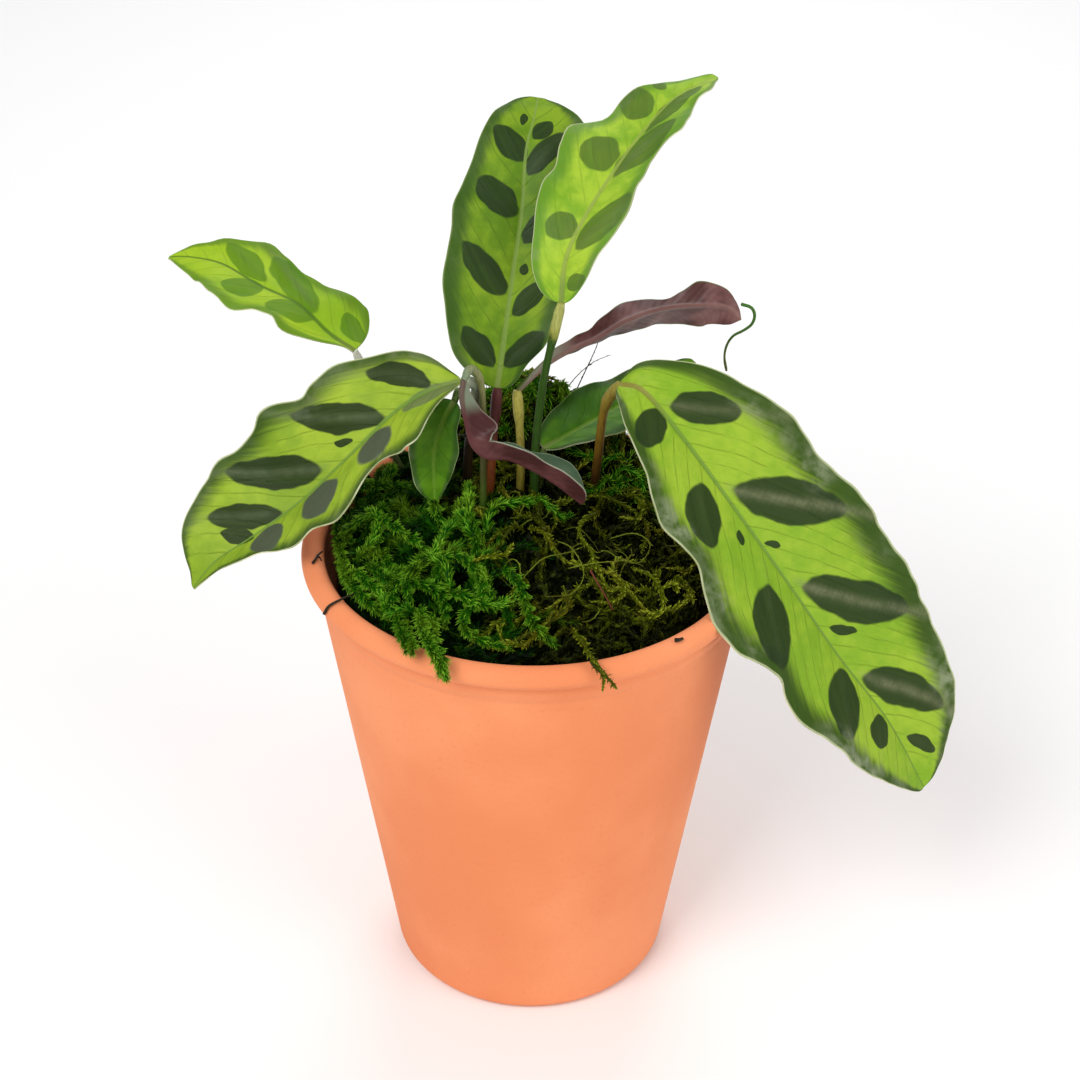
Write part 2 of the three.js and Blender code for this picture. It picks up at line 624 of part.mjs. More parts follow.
/** The two kinds of moss, as one body each. */
function mosses(holes) {
  const draw = seeded(TUFTS.seed);
  const clear = (x, y) => LEAVES.every(({ stalk }) => Math.hypot(x - stalk[1][0], y - stalk[1][1]) > 7);
  const isGreen = (x, y) => clear(x, y) && x < -16 && y < 6;
  const isOlive = (x, y) => clear(x, y) && x > 1;
  const mat = mossMat();
  const grow = (ground, shoots) => wasm.Manifold.union([ground, ...shoots.map(shoot)]);
  const drill = (solid) => holes.reduce((left, hole) => left.subtract(hole), solid);
  const greenShoots = [...GREEN_SHOOTS, ...tufts(TUFTS.green, isGreen, draw)];
  const oliveShoots = [...OLIVE_SHOOTS, ...tufts(TUFTS.olive, isOlive, draw)];
  const green = grow(mat.intersect(greenSide(0)), greenShoots).intersect(greenSide(0));
  const olive = grow(mat.subtract(greenSide(GAP)), oliveShoots).subtract(greenSide(GAP));
  return { green: mainBody(drill(green)), olive: mainBody(drill(olive)) };
}

// ---------------------------------------------------------------- the plant in its pot

const plant = new THREE.Group();
plant.name = "potted_calathea";
plant.add(piece("pot", geometryFrom(pot()), COLOURS.terracotta, 0.85));

const holes = LEAVES.map(stalkHole);
plant.add(piece("soil", geometryFrom(soil(holes)), COLOURS.soil, 0.95));
const moss = mosses(holes);
plant.add(piece("moss_green", geometryFrom(moss.green), COLOURS.mossGreen, 0.9));
plant.add(piece("moss_olive", geometryFrom(moss.olive), COLOURS.mossOlive, 0.9));

for (const leaf of LEAVES) {
  plant.add(piece(`leaf_${leaf.name}`, bladeGeometry(leaf), leaf.colour, 0.45));
  plant.add(piece(`stalk_${leaf.name}`, stalkGeometry(leaf), leaf.stalkColour, 0.5));
}

const thread = tubeThrough(TENDRIL.route, TENDRIL.radius, TENDRIL.sides, TENDRIL.step);
plant.add(piece("tip_tendril", thread, COLOURS.stalkGreen, 0.7));

export default plant;
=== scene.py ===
"""A young rattlesnake calathea in a plain terracotta pot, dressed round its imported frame.

Lengths in the classes are millimetres, as in the part's own source, and every mesh is scaled to
metres when it is made. The origin is the centre of the pot's foot, and the front faces -Y.
"""

import json
import logging
import math
from dataclasses import dataclass, field, replace
from enum import Enum
from typing import Iterable, Sequence

import bmesh
import bpy
import numpy as np
from mathutils import Matrix, Vector, noise

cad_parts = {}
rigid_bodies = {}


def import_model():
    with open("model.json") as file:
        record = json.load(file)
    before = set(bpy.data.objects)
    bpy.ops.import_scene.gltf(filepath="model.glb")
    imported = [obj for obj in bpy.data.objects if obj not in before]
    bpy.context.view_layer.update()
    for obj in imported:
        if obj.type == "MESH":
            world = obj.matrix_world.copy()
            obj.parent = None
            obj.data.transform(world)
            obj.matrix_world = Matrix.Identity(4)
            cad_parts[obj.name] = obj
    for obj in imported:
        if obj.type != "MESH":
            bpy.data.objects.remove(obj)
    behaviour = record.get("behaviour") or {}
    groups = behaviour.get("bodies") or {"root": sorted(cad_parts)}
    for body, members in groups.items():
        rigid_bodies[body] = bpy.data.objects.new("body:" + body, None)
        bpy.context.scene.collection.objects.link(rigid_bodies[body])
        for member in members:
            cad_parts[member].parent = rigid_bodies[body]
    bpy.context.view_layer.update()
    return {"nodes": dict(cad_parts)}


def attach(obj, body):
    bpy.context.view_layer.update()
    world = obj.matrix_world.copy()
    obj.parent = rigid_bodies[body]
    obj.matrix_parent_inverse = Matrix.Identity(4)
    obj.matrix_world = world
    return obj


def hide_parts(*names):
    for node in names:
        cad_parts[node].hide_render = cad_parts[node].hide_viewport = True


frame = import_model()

MM = 0.001  # a millimetre in Blender's metres
BODY = "root"
TURN = 2 * math.pi
LOG = logging.getLogger("calathea")

Array = np.ndarray
Collection = bpy.types.Collection
Material = bpy.types.Material
Node = bpy.types.Node
Socket = bpy.types.NodeSocket
Thing = bpy.types.Object
Colour = tuple[float, float, float]
Point = tuple[float, float, float]


class Slot(Enum):
    """The record's material slots that the pieces take."""

    TERRACOTTA = "terracotta"
    MOSS_GREEN = "moss_green"
    MOSS_OLIVE = "moss_olive"
    LEAF_LIME = "leaf_lime"
    LEAF_GREEN = "leaf_green"
    LEAF_MAROON = "leaf_maroon"
    STALK_GREEN = "stalk_green"
    STALK_MAROON = "stalk_maroon"


def srgb(red: int, green: int, blue: int) -> Colour:
    """Turns a colour as it looks on a screen into the linear one that Blender mixes.

    Args:
        red: its red, 0 to 255.
        green: its green.
        blue: its blue.

    Returns:
        The linear colour.
    """

    def linear(value: int) -> float:
        """One channel as a linear share."""
        share = value / 255
        return share / 12.92 if share <= 0.04045 else ((share + 0.055) / 1.055) ** 2.4

    return (linear(red), linear(green), linear(blue))


# ---- node trees


class Bench:
    """Adds nodes to one tree and joins them up.

    Args:
        tree: the shader or geometry tree to work on.
    """

    def __init__(self, tree: bpy.types.NodeTree) -> None:
        """Keeps the tree."""
        self.tree = tree

    def feed(self, socket: Socket, value: object) -> None:
        """Joins a socket to a node's output, or sets it to a plain value.

        Args:
            socket: the input to fill.
            value: a node, an output, a colour or a number.
        """
        if isinstance(value, Node):
            value = next(out for out in value.outputs if out.enabled)
        if isinstance(value, Socket):
            self.tree.links.new(value, socket)
        elif isinstance(value, tuple) and len(value) == 3 and socket.type == "RGBA":
            socket.default_value = (*value, 1.0)
        else:
            socket.default_value = value

    def add(self, kind: str, inputs: dict[str | int, object] | None = None,
            **settings: object) -> Node:
        """Adds a node.

        Args:
            kind: the node's type, as Blender names it.
            inputs: what goes into its sockets, by name or number.
            settings: the node's own settings.

        Returns:
            The new node.
        """
        node = self.tree.nodes.new(kind)
        for name, value in settings.items():
            setattr(node, name, value)
        for key, value in (inputs or {}).items():
            self.feed(node.inputs[key], value)
        return node

    def sum(self, operation: str, *values: object) -> Socket:
        """Adds a Math node, held between 0 and 1 where the operation starts with a *.

        Args:
            operation: the node's operation.
            values: what goes into it.

        Returns:
            Its result.
        """
        clamp = operation.startswith("*")
        node = self.add("ShaderNodeMath", operation=operation.lstrip("*"), use_clamp=clamp)
        for socket, value in zip(node.inputs, values):
            self.feed(socket, value)
        return node.outputs[0]

    def times(self, first: object, second: object) -> Socket:
        """The product of two values."""
        return self.sum("MULTIPLY", first, second)

    def step(self, value: object, low: object, high: object) -> Socket:
        """Runs smoothly from 0 to 1 while the value goes from low to high."""
        inputs = {"Value": value, "From Min": low, "From Max": high}
        return self.add("ShaderNodeMapRange", inputs, interpolation_type="SMOOTHSTEP").outputs[0]

    def mix(self, share: object, first: object, second: object) -> Socket:
        """Mixes two colours.

        Args:
            share: how much of the second one shows.
            first: the colour underneath.
            second: the colour on top.

        Returns:
            The mixed colour.
        """
        node = self.add("ShaderNodeMix", data_type="RGBA")
        for number, value in ((0, share), (6, first), (7, second)):
            self.feed(node.inputs[number], value)
        return node.outputs[2]

    def blotches(self, place: object, per_mm: float, detail: float = 2.0) -> Socket:
        """Soft noise between 0 and 1 with the given number of blotches for each millimetre.

        Args:
            place: the coordinates, in metres.
            per_mm: how many blotches fit in a millimetre.
            detail: how many finer layers it has.

        Returns:
            The noise's value.
        """
        inputs = {"Vector": place, "Scale": per_mm / MM, "Detail": detail}
        return self.add("ShaderNodeTexNoise", inputs).outputs[0]

    def ripples(self, place: object, pitch: float) -> Socket:
        """A wave between -1 and 1 that comes back once in each pitch."""
        return self.sum("SINE", self.times(place, TURN / pitch))


class Surface(Bench):
    """The tree of one new material, with its coordinates and its Principled shader ready.

    Args:
        name: the material's name.
    """

    def __init__(self, name: str) -> None:
        """Makes the material, and leaves only an output and a Principled shader in its tree."""
        self.material = bpy.data.materials.new(name)
        self.material.use_nodes = True
        super().__init__(self.material.node_tree)
        self.tree.nodes.clear()
        self.output = self.add("ShaderNodeOutputMaterial")
        self.shader = self.add("ShaderNodeBsdfPrincipled")
        self.feed(self.output.inputs["Surface"], self.shader.outputs[0])
        self.place = self.add("ShaderNodeTexCoord").outputs["Object"]

    def number(self, name: str) -> Socket:
        """Reads a number that the mesh carries on its points."""
        return self.add("ShaderNodeAttribute", attribute_name=name).outputs["Fac"]

    def flat(self) -> Socket:
        """Reads a blade's own coordinates: millimetres across it and along it."""
        return self.add("ShaderNodeAttribute", attribute_name="flat_mm").outputs["Vector"]

    def paint(self, colour: object) -> None:
        """Colours the surface."""
        self.feed(self.shader.inputs["Base Color"], colour)

    def gloss(self, roughness: object, specular: float = 0.5) -> None:
        """Sets how rough the surface is and how strongly it shines."""
        self.feed(self.shader.inputs["Roughness"], roughness)
        self.shader.inputs["Specular IOR Level"].default_value = specular

    def bump(self, height: object, distance_mm: float) -> None:
        """Raises the surface by a height between 0 and 1, times a distance."""
        inputs = {"Height": height, "Distance": distance_mm * MM}
        self.feed(self.shader.inputs["Normal"], self.add("ShaderNodeBump", inputs))

    def let_light_through(self, colour: object, share: float) -> None:
        """Mixes light from behind into the surface.

        Args:
            colour: the colour it takes.
            share: how much of it there is.
        """
        through = self.add("ShaderNodeBsdfTranslucent", {"Color": colour})
        inputs = {0: share, 1: self.shader, 2: through}
        self.feed(self.output.inputs["Surface"], self.add("ShaderNodeMixShader", inputs))


# ---- finishes


@dataclass(frozen=True)
class Terracotta:
    """Smooth, matt, machine-thrown terracotta with faint rings and pale bloom.

    Attributes:
        body: the colour of most of it.
        light: the colour of its pale patches.
        dark: the colour of its grain and its specks.
        grain_share: how much the grain shows.
        speck_share: how much the specks show.
        ring_pitch: the distance between the thrown rings.
        ring_wobble: how far a ring strays up and down, in metres.
        relief: how deep the grain is.
    """

    body: Colour = srgb(233, 137, 88)
    light: Colour = srgb(244, 152, 103)
    dark: Colour = srgb(208, 108, 62)
    grain_share: float = 0.22
    speck_share: float = 0.35
    ring_pitch: float = 2.6
    ring_wobble: float = 0.006
    relief: float = 0.12

    def material(self) -> Material:
        """Builds the material.

        Returns:
            The terracotta.
        """
        s = Surface("terracotta")
        broad = s.blotches(s.place, 0.018, 3)
        fine = s.blotches(s.place, 0.9, 4)
        colour = s.mix(s.step(broad, 0.35, 0.7), self.body, self.light)
        colour = s.mix(s.times(s.step(fine, 0.55, 0.8), self.grain_share), colour, self.dark)
        speck = s.step(s.blotches(s.place, 2.2, 1), 0.72, 0.8)
        s.paint(s.mix(s.times(speck, self.speck_share), colour, self.dark))
        s.gloss(roughness=0.78, specular=0.3)
        height = s.add("ShaderNodeSeparateXYZ", {0: s.place}).outputs["Z"]
        wobble = s.times(s.blotches(s.place, 0.03), self.ring_wobble)
        rings = s.ripples(s.sum("ADD", height, wobble), self.ring_pitch * MM)
        s.bump(s.sum("MULTIPLY_ADD", fine, 0.6, s.times(rings, 0.12)), self.relief)
        return s.material


@dataclass(frozen=True)
class Earth:
    """Dark potting soil with crumbs and pale grains.

    Attributes:
        dark: the colour between the crumbs.
        crumb: the colour of the crumbs.
        grain: the colour of the pale grains.
        grains_per_metre: how close the pale grains lie.
        relief: how high the crumbs are.
    """

    dark: Colour = srgb(28, 20, 13)
    crumb: Colour = srgb(62, 45, 29)
    grain: Colour = srgb(150, 132, 104)
    grains_per_metre: float = 450.0
    relief: float = 1.5

    def material(self) -> Material:
        """Builds the material.

        Returns:
            The soil.
        """
        s = Surface("soil")
        lumps = s.blotches(s.place, 0.35, 5)
        colour = s.mix(s.step(lumps, 0.4, 0.65), self.dark, self.crumb)
        inputs = {"Vector": s.place, "Scale": self.grains_per_metre}
        grains = s.add("ShaderNodeTexVoronoi", inputs).outputs["Distance"]
        s.paint(s.mix(s.times(s.step(grains, 0.12, 0.05), 0.6), colour, self.grain))
        s.gloss(roughness=0.95)
        s.bump(lumps, self.relief)
        return s.material


@dataclass(frozen=True)
class MossSkin:
    """Moss: painted shade low in the bed and on its stems, and painted light on its upper leaflets.

    Attributes:
        name: the material's name.
        deep_shade: the painted shade low in the moss.
        body: the colour of most of it.
        tip: the colour of its newest ends, shown only where they are lit, so partly painted light.
        dry: a second colour that patches of it have.
        dry_share: how much of the second colour shows.
        stem_share: how bright the stems are, as a share of the leaflets' ends, which paints shade inside the
            shoots.
        through: the share of light that comes from behind.
    """

    name: str
    deep_shade: Colour
    body: Colour
    tip: Colour
    dry: Colour
    dry_share: float
    stem_share: float
    through: float = 0.22

    def material(self) -> Material:
        """Builds the material.

        Returns:
            The moss.
        """
        s = Surface(self.name)
        tip = s.number("tip")
        patches = s.blotches(s.place, 0.1, 3)
        flecks = s.blotches(s.place, 0.6, 2)
        # Painted light and shade: dim shoots, the mat and the stems lean to the colour low in the moss, and
        # lit leaflet ends take the colour of the newest ends.
        brightness = s.sum("MULTIPLY_ADD", tip, 1 - self.stem_share, self.stem_share)
        shown = s.times(s.number("tone"), brightness)
        lit = s.sum("*ADD", shown, s.sum("MULTIPLY_ADD", flecks, 0.6, -0.33))
        colour = s.mix(s.step(lit, 0.0, 0.75), self.deep_shade, self.body)
        dried = s.times(s.step(patches, 0.48, 0.66), s.step(lit, 0.15, 0.5))
        colour = s.mix(s.times(dried, self.dry_share), colour, self.dry)
        ends = s.times(s.step(tip, 0.4, 1.0), s.step(lit, 0.4, 0.9))
        colour = s.mix(ends, colour, self.tip)
        s.paint(colour)
        s.gloss(roughness=0.6, specular=0.1)
        s.bump(flecks, 0.2)
        s.let_light_through(colour, self.through)
        return s.material


@dataclass(frozen=True)
class Spot:
    """A dark blotch of a blade, in millimetres on the flattened blade.

    Attributes:
        across: how far its middle lies from the midrib, to the right where positive.
        along: how far its middle lies from the blade's foot.
        long: its length.
        wide: its width.
        turn: the way its length runs, in degrees from straight across towards the tip.
    """

    across: float
    along: float
    long: float
    wide: float
    turn: float


@dataclass(frozen=True)
class LeafFace:
    """The upper face of a blade: lime field, dark blotches and margin, midrib, fine veins, bloom, painted
    sheen and highlights.

    Attributes:
        name: the material's name.
        lime: the field's bright colour.
        shade: the field's darker colour.
        blotch: the colour of the dark blotches.
        margin: the colour of the band along the edge.
        midrib: the colour of the midrib.
        root: the colour of the midrib next to the stalk.
        edge: the colour of the thin line round the blade.
        bloom_and_sheen: the colour of the waxy bloom and painted sheen on the margin.
        crease_highlight: the colour of the painted highlight on the crests of the folds.
        silver_sheen: the colour of a painted pale grey sheen.
        band: the share of the half width where the dark margin starts and is whole.
        through: the share of light that comes from behind.
        blotch_share: how dark the blotches are.
        bloom_and_sheen_share: how much waxy bloom and painted sheen lie on the margin.
        crease_highlight_share: how strong the painted highlight on the crests of the folds is.
        vein_share: how dark the side veins are.
    """

    name: str
    lime: Colour
    shade: Colour
    blotch: Colour = srgb(36, 56, 24)
    margin: Colour = srgb(58, 86, 26)
    midrib: Colour = srgb(118, 154, 60)
    root: Colour = srgb(140, 160, 82)
    edge: Colour = srgb(196, 204, 156)
    bloom_and_sheen: Colour = srgb(150, 158, 124)
    crease_highlight: Colour = srgb(112, 124, 90)
    silver_sheen: Colour = srgb(98, 106, 86)
    band: tuple[float, float] = (0.6, 0.9)
    through: float = 0.2
    blotch_share: float = 0.96
    bloom_and_sheen_share: float = 0.5
    crease_highlight_share: float = 0.45
    vein_share: float = 0.35

    FEATHER = 0.42  # how close the broad streaks along the side veins lie
    FIBRE = 3.2  # and the fine ones
    FEATHER_REACH = 0.28  # how raggedly the dark margin ends, as a share of the half width
    VEIN_GAP = 6.4
    VEIN_STRAY = 9.0
    VEIN_SHARPNESS = 110.0
    CELLS_PER_METRE = 2200.0
    RELIEF = 0.12
    STIR = 2.2  # how far the blotches' outlines stray
    STIR_SCALE = 0.16
    BLUNTNESS = 1.6  # a blotch is blunter than an ellipse
    OUTLINE = (1.12, 0.9)  # where a blotch begins and where it is whole; its ellipse is at 1
    FAR = 9.0  # farther than any blotch reaches

    def material(self, spots: Sequence[Spot], sheen_places: Sequence[Spot], length: float) -> Material:
        """Builds the material.

        Args:
            spots: the blade's dark blotches.
            sheen_places: the places that have a painted pale grey sheen.
            length: the blade's length.

        Returns:
            The material.
        """
        s = Surface(self.name)
        share, vein = s.number("margin_share"), s.number("vein_mm")
        cloud, mottle = s.blotches(s.place, 0.04, 3), s.blotches(s.place, 0.3, 3)
        feather, fibre = (self._feathers(s, vein, share, scale) for scale in (self.FEATHER, self.FIBRE))
        ground = s.sum("MULTIPLY_ADD", mottle, 0.35, s.times(cloud, 0.65))
        colour = s.mix(s.step(ground, 0.36, 0.62), self.shade, self.lime)
        colour = s.mix(s.times(s.step(fibre, 0.45, 0.75), 0.14), colour, self.margin)
        wandering = s.sum("MULTIPLY_ADD", cloud, self.VEIN_STRAY, vein)
        wave = s.sum("ABSOLUTE", s.ripples(wandering, 2 * self.VEIN_GAP))
        lines = s.times(s.sum("POWER", wave, self.VEIN_SHARPNESS), s.step(mottle, 0.3, 0.6))
        colour = s.mix(s.times(lines, self.vein_share), colour, self.margin)
        strayed = s.times(s.sum("SUBTRACT", feather, 0.5), self.FEATHER_REACH)
        band = s.times(s.step(s.sum("ADD", share, strayed), *self.band), s.step(share, 0.5, 0.8))
        colour = s.mix(s.times(band, 0.94), colour, self.margin)
        if spots:
            inner = s.mix(s.times(s.step(feather, 0.35, 0.75), 0.3), self.blotch, self.margin)
            dark = s.times(self._blotches(s, spots), self.blotch_share)
            colour = s.mix(dark, colour, inner)
        # A painted pale grey sheen over the given places.
        if sheen_places:
            colour = s.mix(s.times(self._blotches(s, sheen_places), 0.7), colour, self.silver_sheen)
        # The margin's pale patches: waxy bloom, and painted sheen.
        dust_and_sheen_band = s.times(band, s.step(mottle, 0.3, 0.7))
        bloom = s.times(s.step(cloud, 0.42, 0.66), dust_and_sheen_band)
        colour = s.mix(s.times(bloom, self.bloom_and_sheen_share), colour, self.bloom_and_sheen)
        # A painted highlight, in patches, on the crests of the folds.
        patchy = s.sum("MULTIPLY_ADD", s.step(mottle, 0.3, 0.7), 0.5, 0.5)
        painted_crest_highlight = s.sum("*MULTIPLY", s.number("fold"), patchy)
        colour = s.mix(s.times(painted_crest_highlight, self.crease_highlight_share), colour, self.crease_highlight)
        colour = self._midrib(s, colour, length)
        colour = s.mix(s.step(share, 0.972, 0.992), colour, self.edge)
        s.paint(colour)
        s.gloss(roughness=s.sum("MULTIPLY_ADD", cloud, 0.2, 0.34), specular=0.16)
        inputs = {"Vector": s.place, "Scale": self.CELLS_PER_METRE}
        cells = s.add("ShaderNodeTexVoronoi", inputs).outputs["Distance"]
        relief = s.sum("MULTIPLY_ADD", fibre, 0.5, s.times(cells, 0.3))
        s.bump(s.sum("SUBTRACT", relief, s.times(lines, 0.8)), self.RELIEF)
        s.let_light_through(colour, self.through)
        return s.material

    def _midrib(self, s: Surface, colour: object, length: float) -> Socket:
        """Draws the midrib, which narrows to the tip and is paler next to the stalk.

        Args:
            s: the surface.
            colour: the blade's colour without it.
            length: the blade's length.

        Returns:
            The colour with it.
        """
        parts = s.add("ShaderNodeSeparateXYZ", {0: s.flat()}).outputs
        width = s.sum("MULTIPLY_ADD", parts["Y"], -0.7 / length, 1.05)
        rib = s.step(s.sum("ABSOLUTE", parts["X"]), width, s.times(width, 0.45))
        spring = s.mix(s.step(parts["Y"], length * 0.13, length * 0.02), self.midrib, self.root)
        return s.mix(s.times(rib, 0.85), colour, spring)

    @staticmethod
    def _feathers(s: Surface, vein: object, share: object, scale: float) -> Socket:
        """Noise that is drawn out along the side veins."""
        place = s.add("ShaderNodeCombineXYZ", {0: vein, 1: s.times(share, 2.5)})
        return s.add("ShaderNodeTexNoise", {"Vector": place, "Scale": scale, "Detail": 3.0}).outputs[0]

    def _blotches(self, s: Surface, spots: Sequence[Spot]) -> Socket:
        """Measures how dark a point is.

        Args:
            s: the surface.
            spots: the blotches.

        Returns:
            1 inside any of the blotches, 0 outside them.
        """
        flat = s.flat()
        inputs = {"Vector": flat, "Scale": self.STIR_SCALE, "Detail": 1.5}
        stir = s.add("ShaderNodeTexNoise", inputs).outputs["Color"]
        stir = s.add("ShaderNodeVectorMath", {0: stir, 1: (0.5, 0.5, 0.5)}, operation="SUBTRACT")
        inputs = {0: stir, 1: (self.STIR, self.STIR, 0.0), 2: flat}
        place = s.add("ShaderNodeVectorMath", inputs, operation="MULTIPLY_ADD")
        nearest: object = self.FAR
        for spot in spots:
            inputs = {
                "Vector": place.outputs[0],
                "Location": (spot.across, spot.along, 0.0),
                "Rotation": (0.0, 0.0, math.radians(spot.turn)),
                "Scale": (spot.long / 2, spot.wide / 2, 1.0),
            }
            inside = s.add("ShaderNodeMapping", inputs, vector_type="TEXTURE")
            sides = s.add("ShaderNodeSeparateXYZ", {0: inside.outputs[0]}).outputs
            ahead = s.times(sides["X"], sides["X"])
            beside = s.sum("POWER", s.sum("ABSOLUTE", sides["Y"]), self.BLUNTNESS)
            nearest = s.sum("MINIMUM", nearest, s.sum("ADD", ahead, beside))
        return s.step(nearest, *self.OUTLINE)


@dataclass(frozen=True)
class LeafBack:
    """The maroon underside of a blade, with a soft pink sheen between its veins.

    Attributes:
        name: the material's name.
        body: the colour of most of it.
        sheen: the colour of its pale patches, which are painted sheen.
        base: the colour next to the stalk; its pale grey default is a painted sheen.
        rib: the colour of the midrib.
        edge: the colour of the thin line along the margin.
        base_share: the share of its length that has the base's colour.
        through: the share of light that comes from behind.
        line_gap: the distance between its fine lines.
        relief: how deep its fine lines are.
    """

    name: str = "leaf_back"
    body: Colour = srgb(88, 44, 44)
    sheen: Colour = srgb(146, 96, 92)
    base: Colour = srgb(150, 150, 128)
    rib: Colour = srgb(122, 84, 72)
    edge: Colour = srgb(112, 132, 66)
    base_share: float = 0.0
    through: float = 0.05
    line_gap: float = 2.6
    relief: float = 0.12

    def material(self, length: float) -> Material:
        """Builds the material.

        Args:
            length: the blade's length.

        Returns:
            The material.
        """
        s = Surface(self.name)
        flat = s.add("ShaderNodeSeparateXYZ", {0: s.flat()}).outputs
        cloud = s.blotches(s.place, 0.08, 3)
        lines = s.ripples(s.number("vein_mm"), self.line_gap)
        shine = s.sum("*MULTIPLY_ADD", lines, 0.03, s.times(s.step(cloud, 0.38, 0.66), 0.8))
        colour = s.mix(shine, self.body, self.sheen)
        if self.base_share > 0:
            reach = length * self.base_share
            colour = s.mix(s.step(flat["Y"], reach, reach / 2), colour, self.base)
        rib = s.step(s.sum("ABSOLUTE", flat["X"]), 0.9, 0.4)
        colour = s.mix(s.times(rib, 0.7), colour, self.rib)
        line = s.step(s.number("margin_share"), 0.94, 0.98)
        colour = s.mix(s.times(line, 0.8), colour, self.edge)
        s.paint(colour)
        s.gloss(roughness=0.42, specular=0.22)
        s.shader.inputs["Sheen Weight"].default_value = 0.06
        s.bump(s.sum("MULTIPLY_ADD", lines, 0.2, cloud), self.relief)
        s.let_light_through(colour, self.through)
        return s.material


@dataclass(frozen=True)
class LeafRim:
    """The thin pale line where a blade's two faces meet.

    Attributes:
        name: the material's name.
        light: the colour of most of it.
        dark: the colour of its darker stretches.
    """

    name: str = "leaf_rim"
    light: Colour = srgb(206, 208, 168)
    dark: Colour = srgb(150, 160, 96)

    def material(self) -> Material:
        """Builds the material.

        Returns:
            The material.
        """
        s = Surface(self.name)
        s.paint(s.mix(s.step(s.blotches(s.place, 0.12, 2), 0.4, 0.65), self.light, self.dark))
        s.gloss(roughness=0.5)
        return s.material


@dataclass(frozen=True)
class StalkSkin:
    """A stalk's skin, whose colour changes from the soil to the blade.

    Attributes:
        name: the material's name.
        stops: shares of the stalk's length, each with the screen colour that is whole there.
    """

    name: str
    stops: tuple[tuple[float, int, int, int], ...]

    SPREAD = 0.16
    STRETCH = 0.12  # height counts for less, so the streaks run along the stalk
    SCATTER = 0.001  # how far light runs under the skin, in metres

    def material(self) -> Material:
        """Builds the material.

        Returns:
            The skin.
        """
        s = Surface(self.name)
        spread = s.times(s.sum("SUBTRACT", s.blotches(s.place, 0.2, 3), 0.5), self.SPREAD)
        ramp = s.add("ShaderNodeValToRGB", {0: s.sum("*ADD", s.number("stalk_share"), spread)})
        ends = ramp.color_ramp.elements
        for element, (stop, *screen) in zip(ends, (self.stops[0], self.stops[-1])):
            element.position = stop
            element.color = (*srgb(*screen), 1.0)
        for stop, *screen in self.stops[1:-1]:
            ends.new(stop).color = (*srgb(*screen), 1.0)
        inputs = {0: s.place, 1: (1.0, 1.0, self.STRETCH)}
        lines = s.blotches(s.add("ShaderNodeVectorMath", inputs, operation="MULTIPLY"), 2.4, 3)
        streaks = s.times(s.step(lines, 0.45, 0.7), 0.35)
        s.paint(s.mix(streaks, ramp.outputs[0], srgb(*self.stops[0][1:])))
        s.gloss(roughness=0.46, specular=0.22)
        s.shader.inputs["Subsurface Weight"].default_value = 0.08
        s.shader.inputs["Subsurface Scale"].default_value = self.SCATTER
        s.bump(lines, 0.15)
        return s.material


# ---- shapes along a line


def along(values: Sequence[float] | Array, shares: Array) -> Array:
    """Numbers or vectors that run smoothly through evenly spaced values.

    Args:
        values: the numbers or vectors.
        shares: the places to read, each between 0 at the first value and 1 at the last.

    Returns:
        One number or vector for each place.
    """
    known = np.asarray(values, float)
    last = len(known) - 1
    place = np.clip(shares, 0, 1) * last
    start = np.minimum(place.astype(int), last - 1)
    t = (place - start).reshape((-1,) + (1,) * (known.ndim - 1))
    padded = np.concatenate([[2 * known[0] - known[1]], known, [2 * known[-1] - known[-2]]])
    before, a, b, after = (padded[start + k] for k in range(4))
    square = (2 * before - 5 * a + 4 * b - after) * t**2
    cube = (3 * a - before - 3 * b + after) * t**3
    return 0.5 * (2 * a + (b - before) * t + square + cube)


def unit(vectors: Array) -> Array:
    """The same directions, each one long."""
    return vectors / np.maximum(np.linalg.norm(vectors, axis=-1, keepdims=True), 1e-12)


class Route:
    """A smooth curve through points, measured by its own length.

    Args:
        points: where it passes.
    """

    FINE = 1200
    REACH = 0.006  # how far it looks for its heading, as a share of its length

    def __init__(self, points: Sequence[Point]) -> None:
        """Lays the curve out in short steps."""
        self.places = along(points, np.linspace(0, 1, self.FINE))
        steps = np.linalg.norm(np.diff(self.places, axis=0), axis=1)
        self.walked = np.concatenate([[0.0], np.cumsum(steps)])
        self.length = float(self.walked[-1])

    def at(self, shares: Array) -> Array:
        """The points at shares of the length."""
        walk = np.clip(shares, 0, 1) * self.length
        return np.stack([np.interp(walk, self.walked, self.places[:, k]) for k in range(3)], -1)

    def heading(self, shares: Array) -> Array:
        """The directions of travel at shares of the length."""
        return unit(self.at(shares + self.REACH) - self.at(shares - self.REACH))


def placed(name: str, data: bpy.types.ID) -> Thing:
    """Puts a new object in the scene.

    Args:
        name: its name.
        data: its mesh, lamp or camera.

    Returns:
        The object.
    """
    thing = bpy.data.objects.new(name, data)
    bpy.context.scene.collection.objects.link(thing)
    return thing


def mesh_object(name: str, points: Array | Sequence[Point], faces: Iterable[Sequence[int]] = (),
                edges: Iterable[tuple[int, int]] = ()) -> Thing:
    """A new object, with its points given in millimetres.

    Args:
        name: the object's name.
        points: one row for each vertex.
        faces: the numbers of each face's vertices.
        edges: the numbers of the vertices of each edge that belongs to no face.

    Returns:
        The object, linked to the scene.
    """
    mesh = bpy.data.meshes.new(name)
    mesh.from_pydata((np.asarray(points) * MM).tolist(), list(edges), [list(face) for face in faces])
    mesh.update()
    return placed(name, mesh)


def line_edges(start: int, count: int) -> list[tuple[int, int]]:
    """The edges that join a number of vertices in a row, the first one numbered start."""
    return [(k, k + 1) for k in range(start, start + count - 1)]


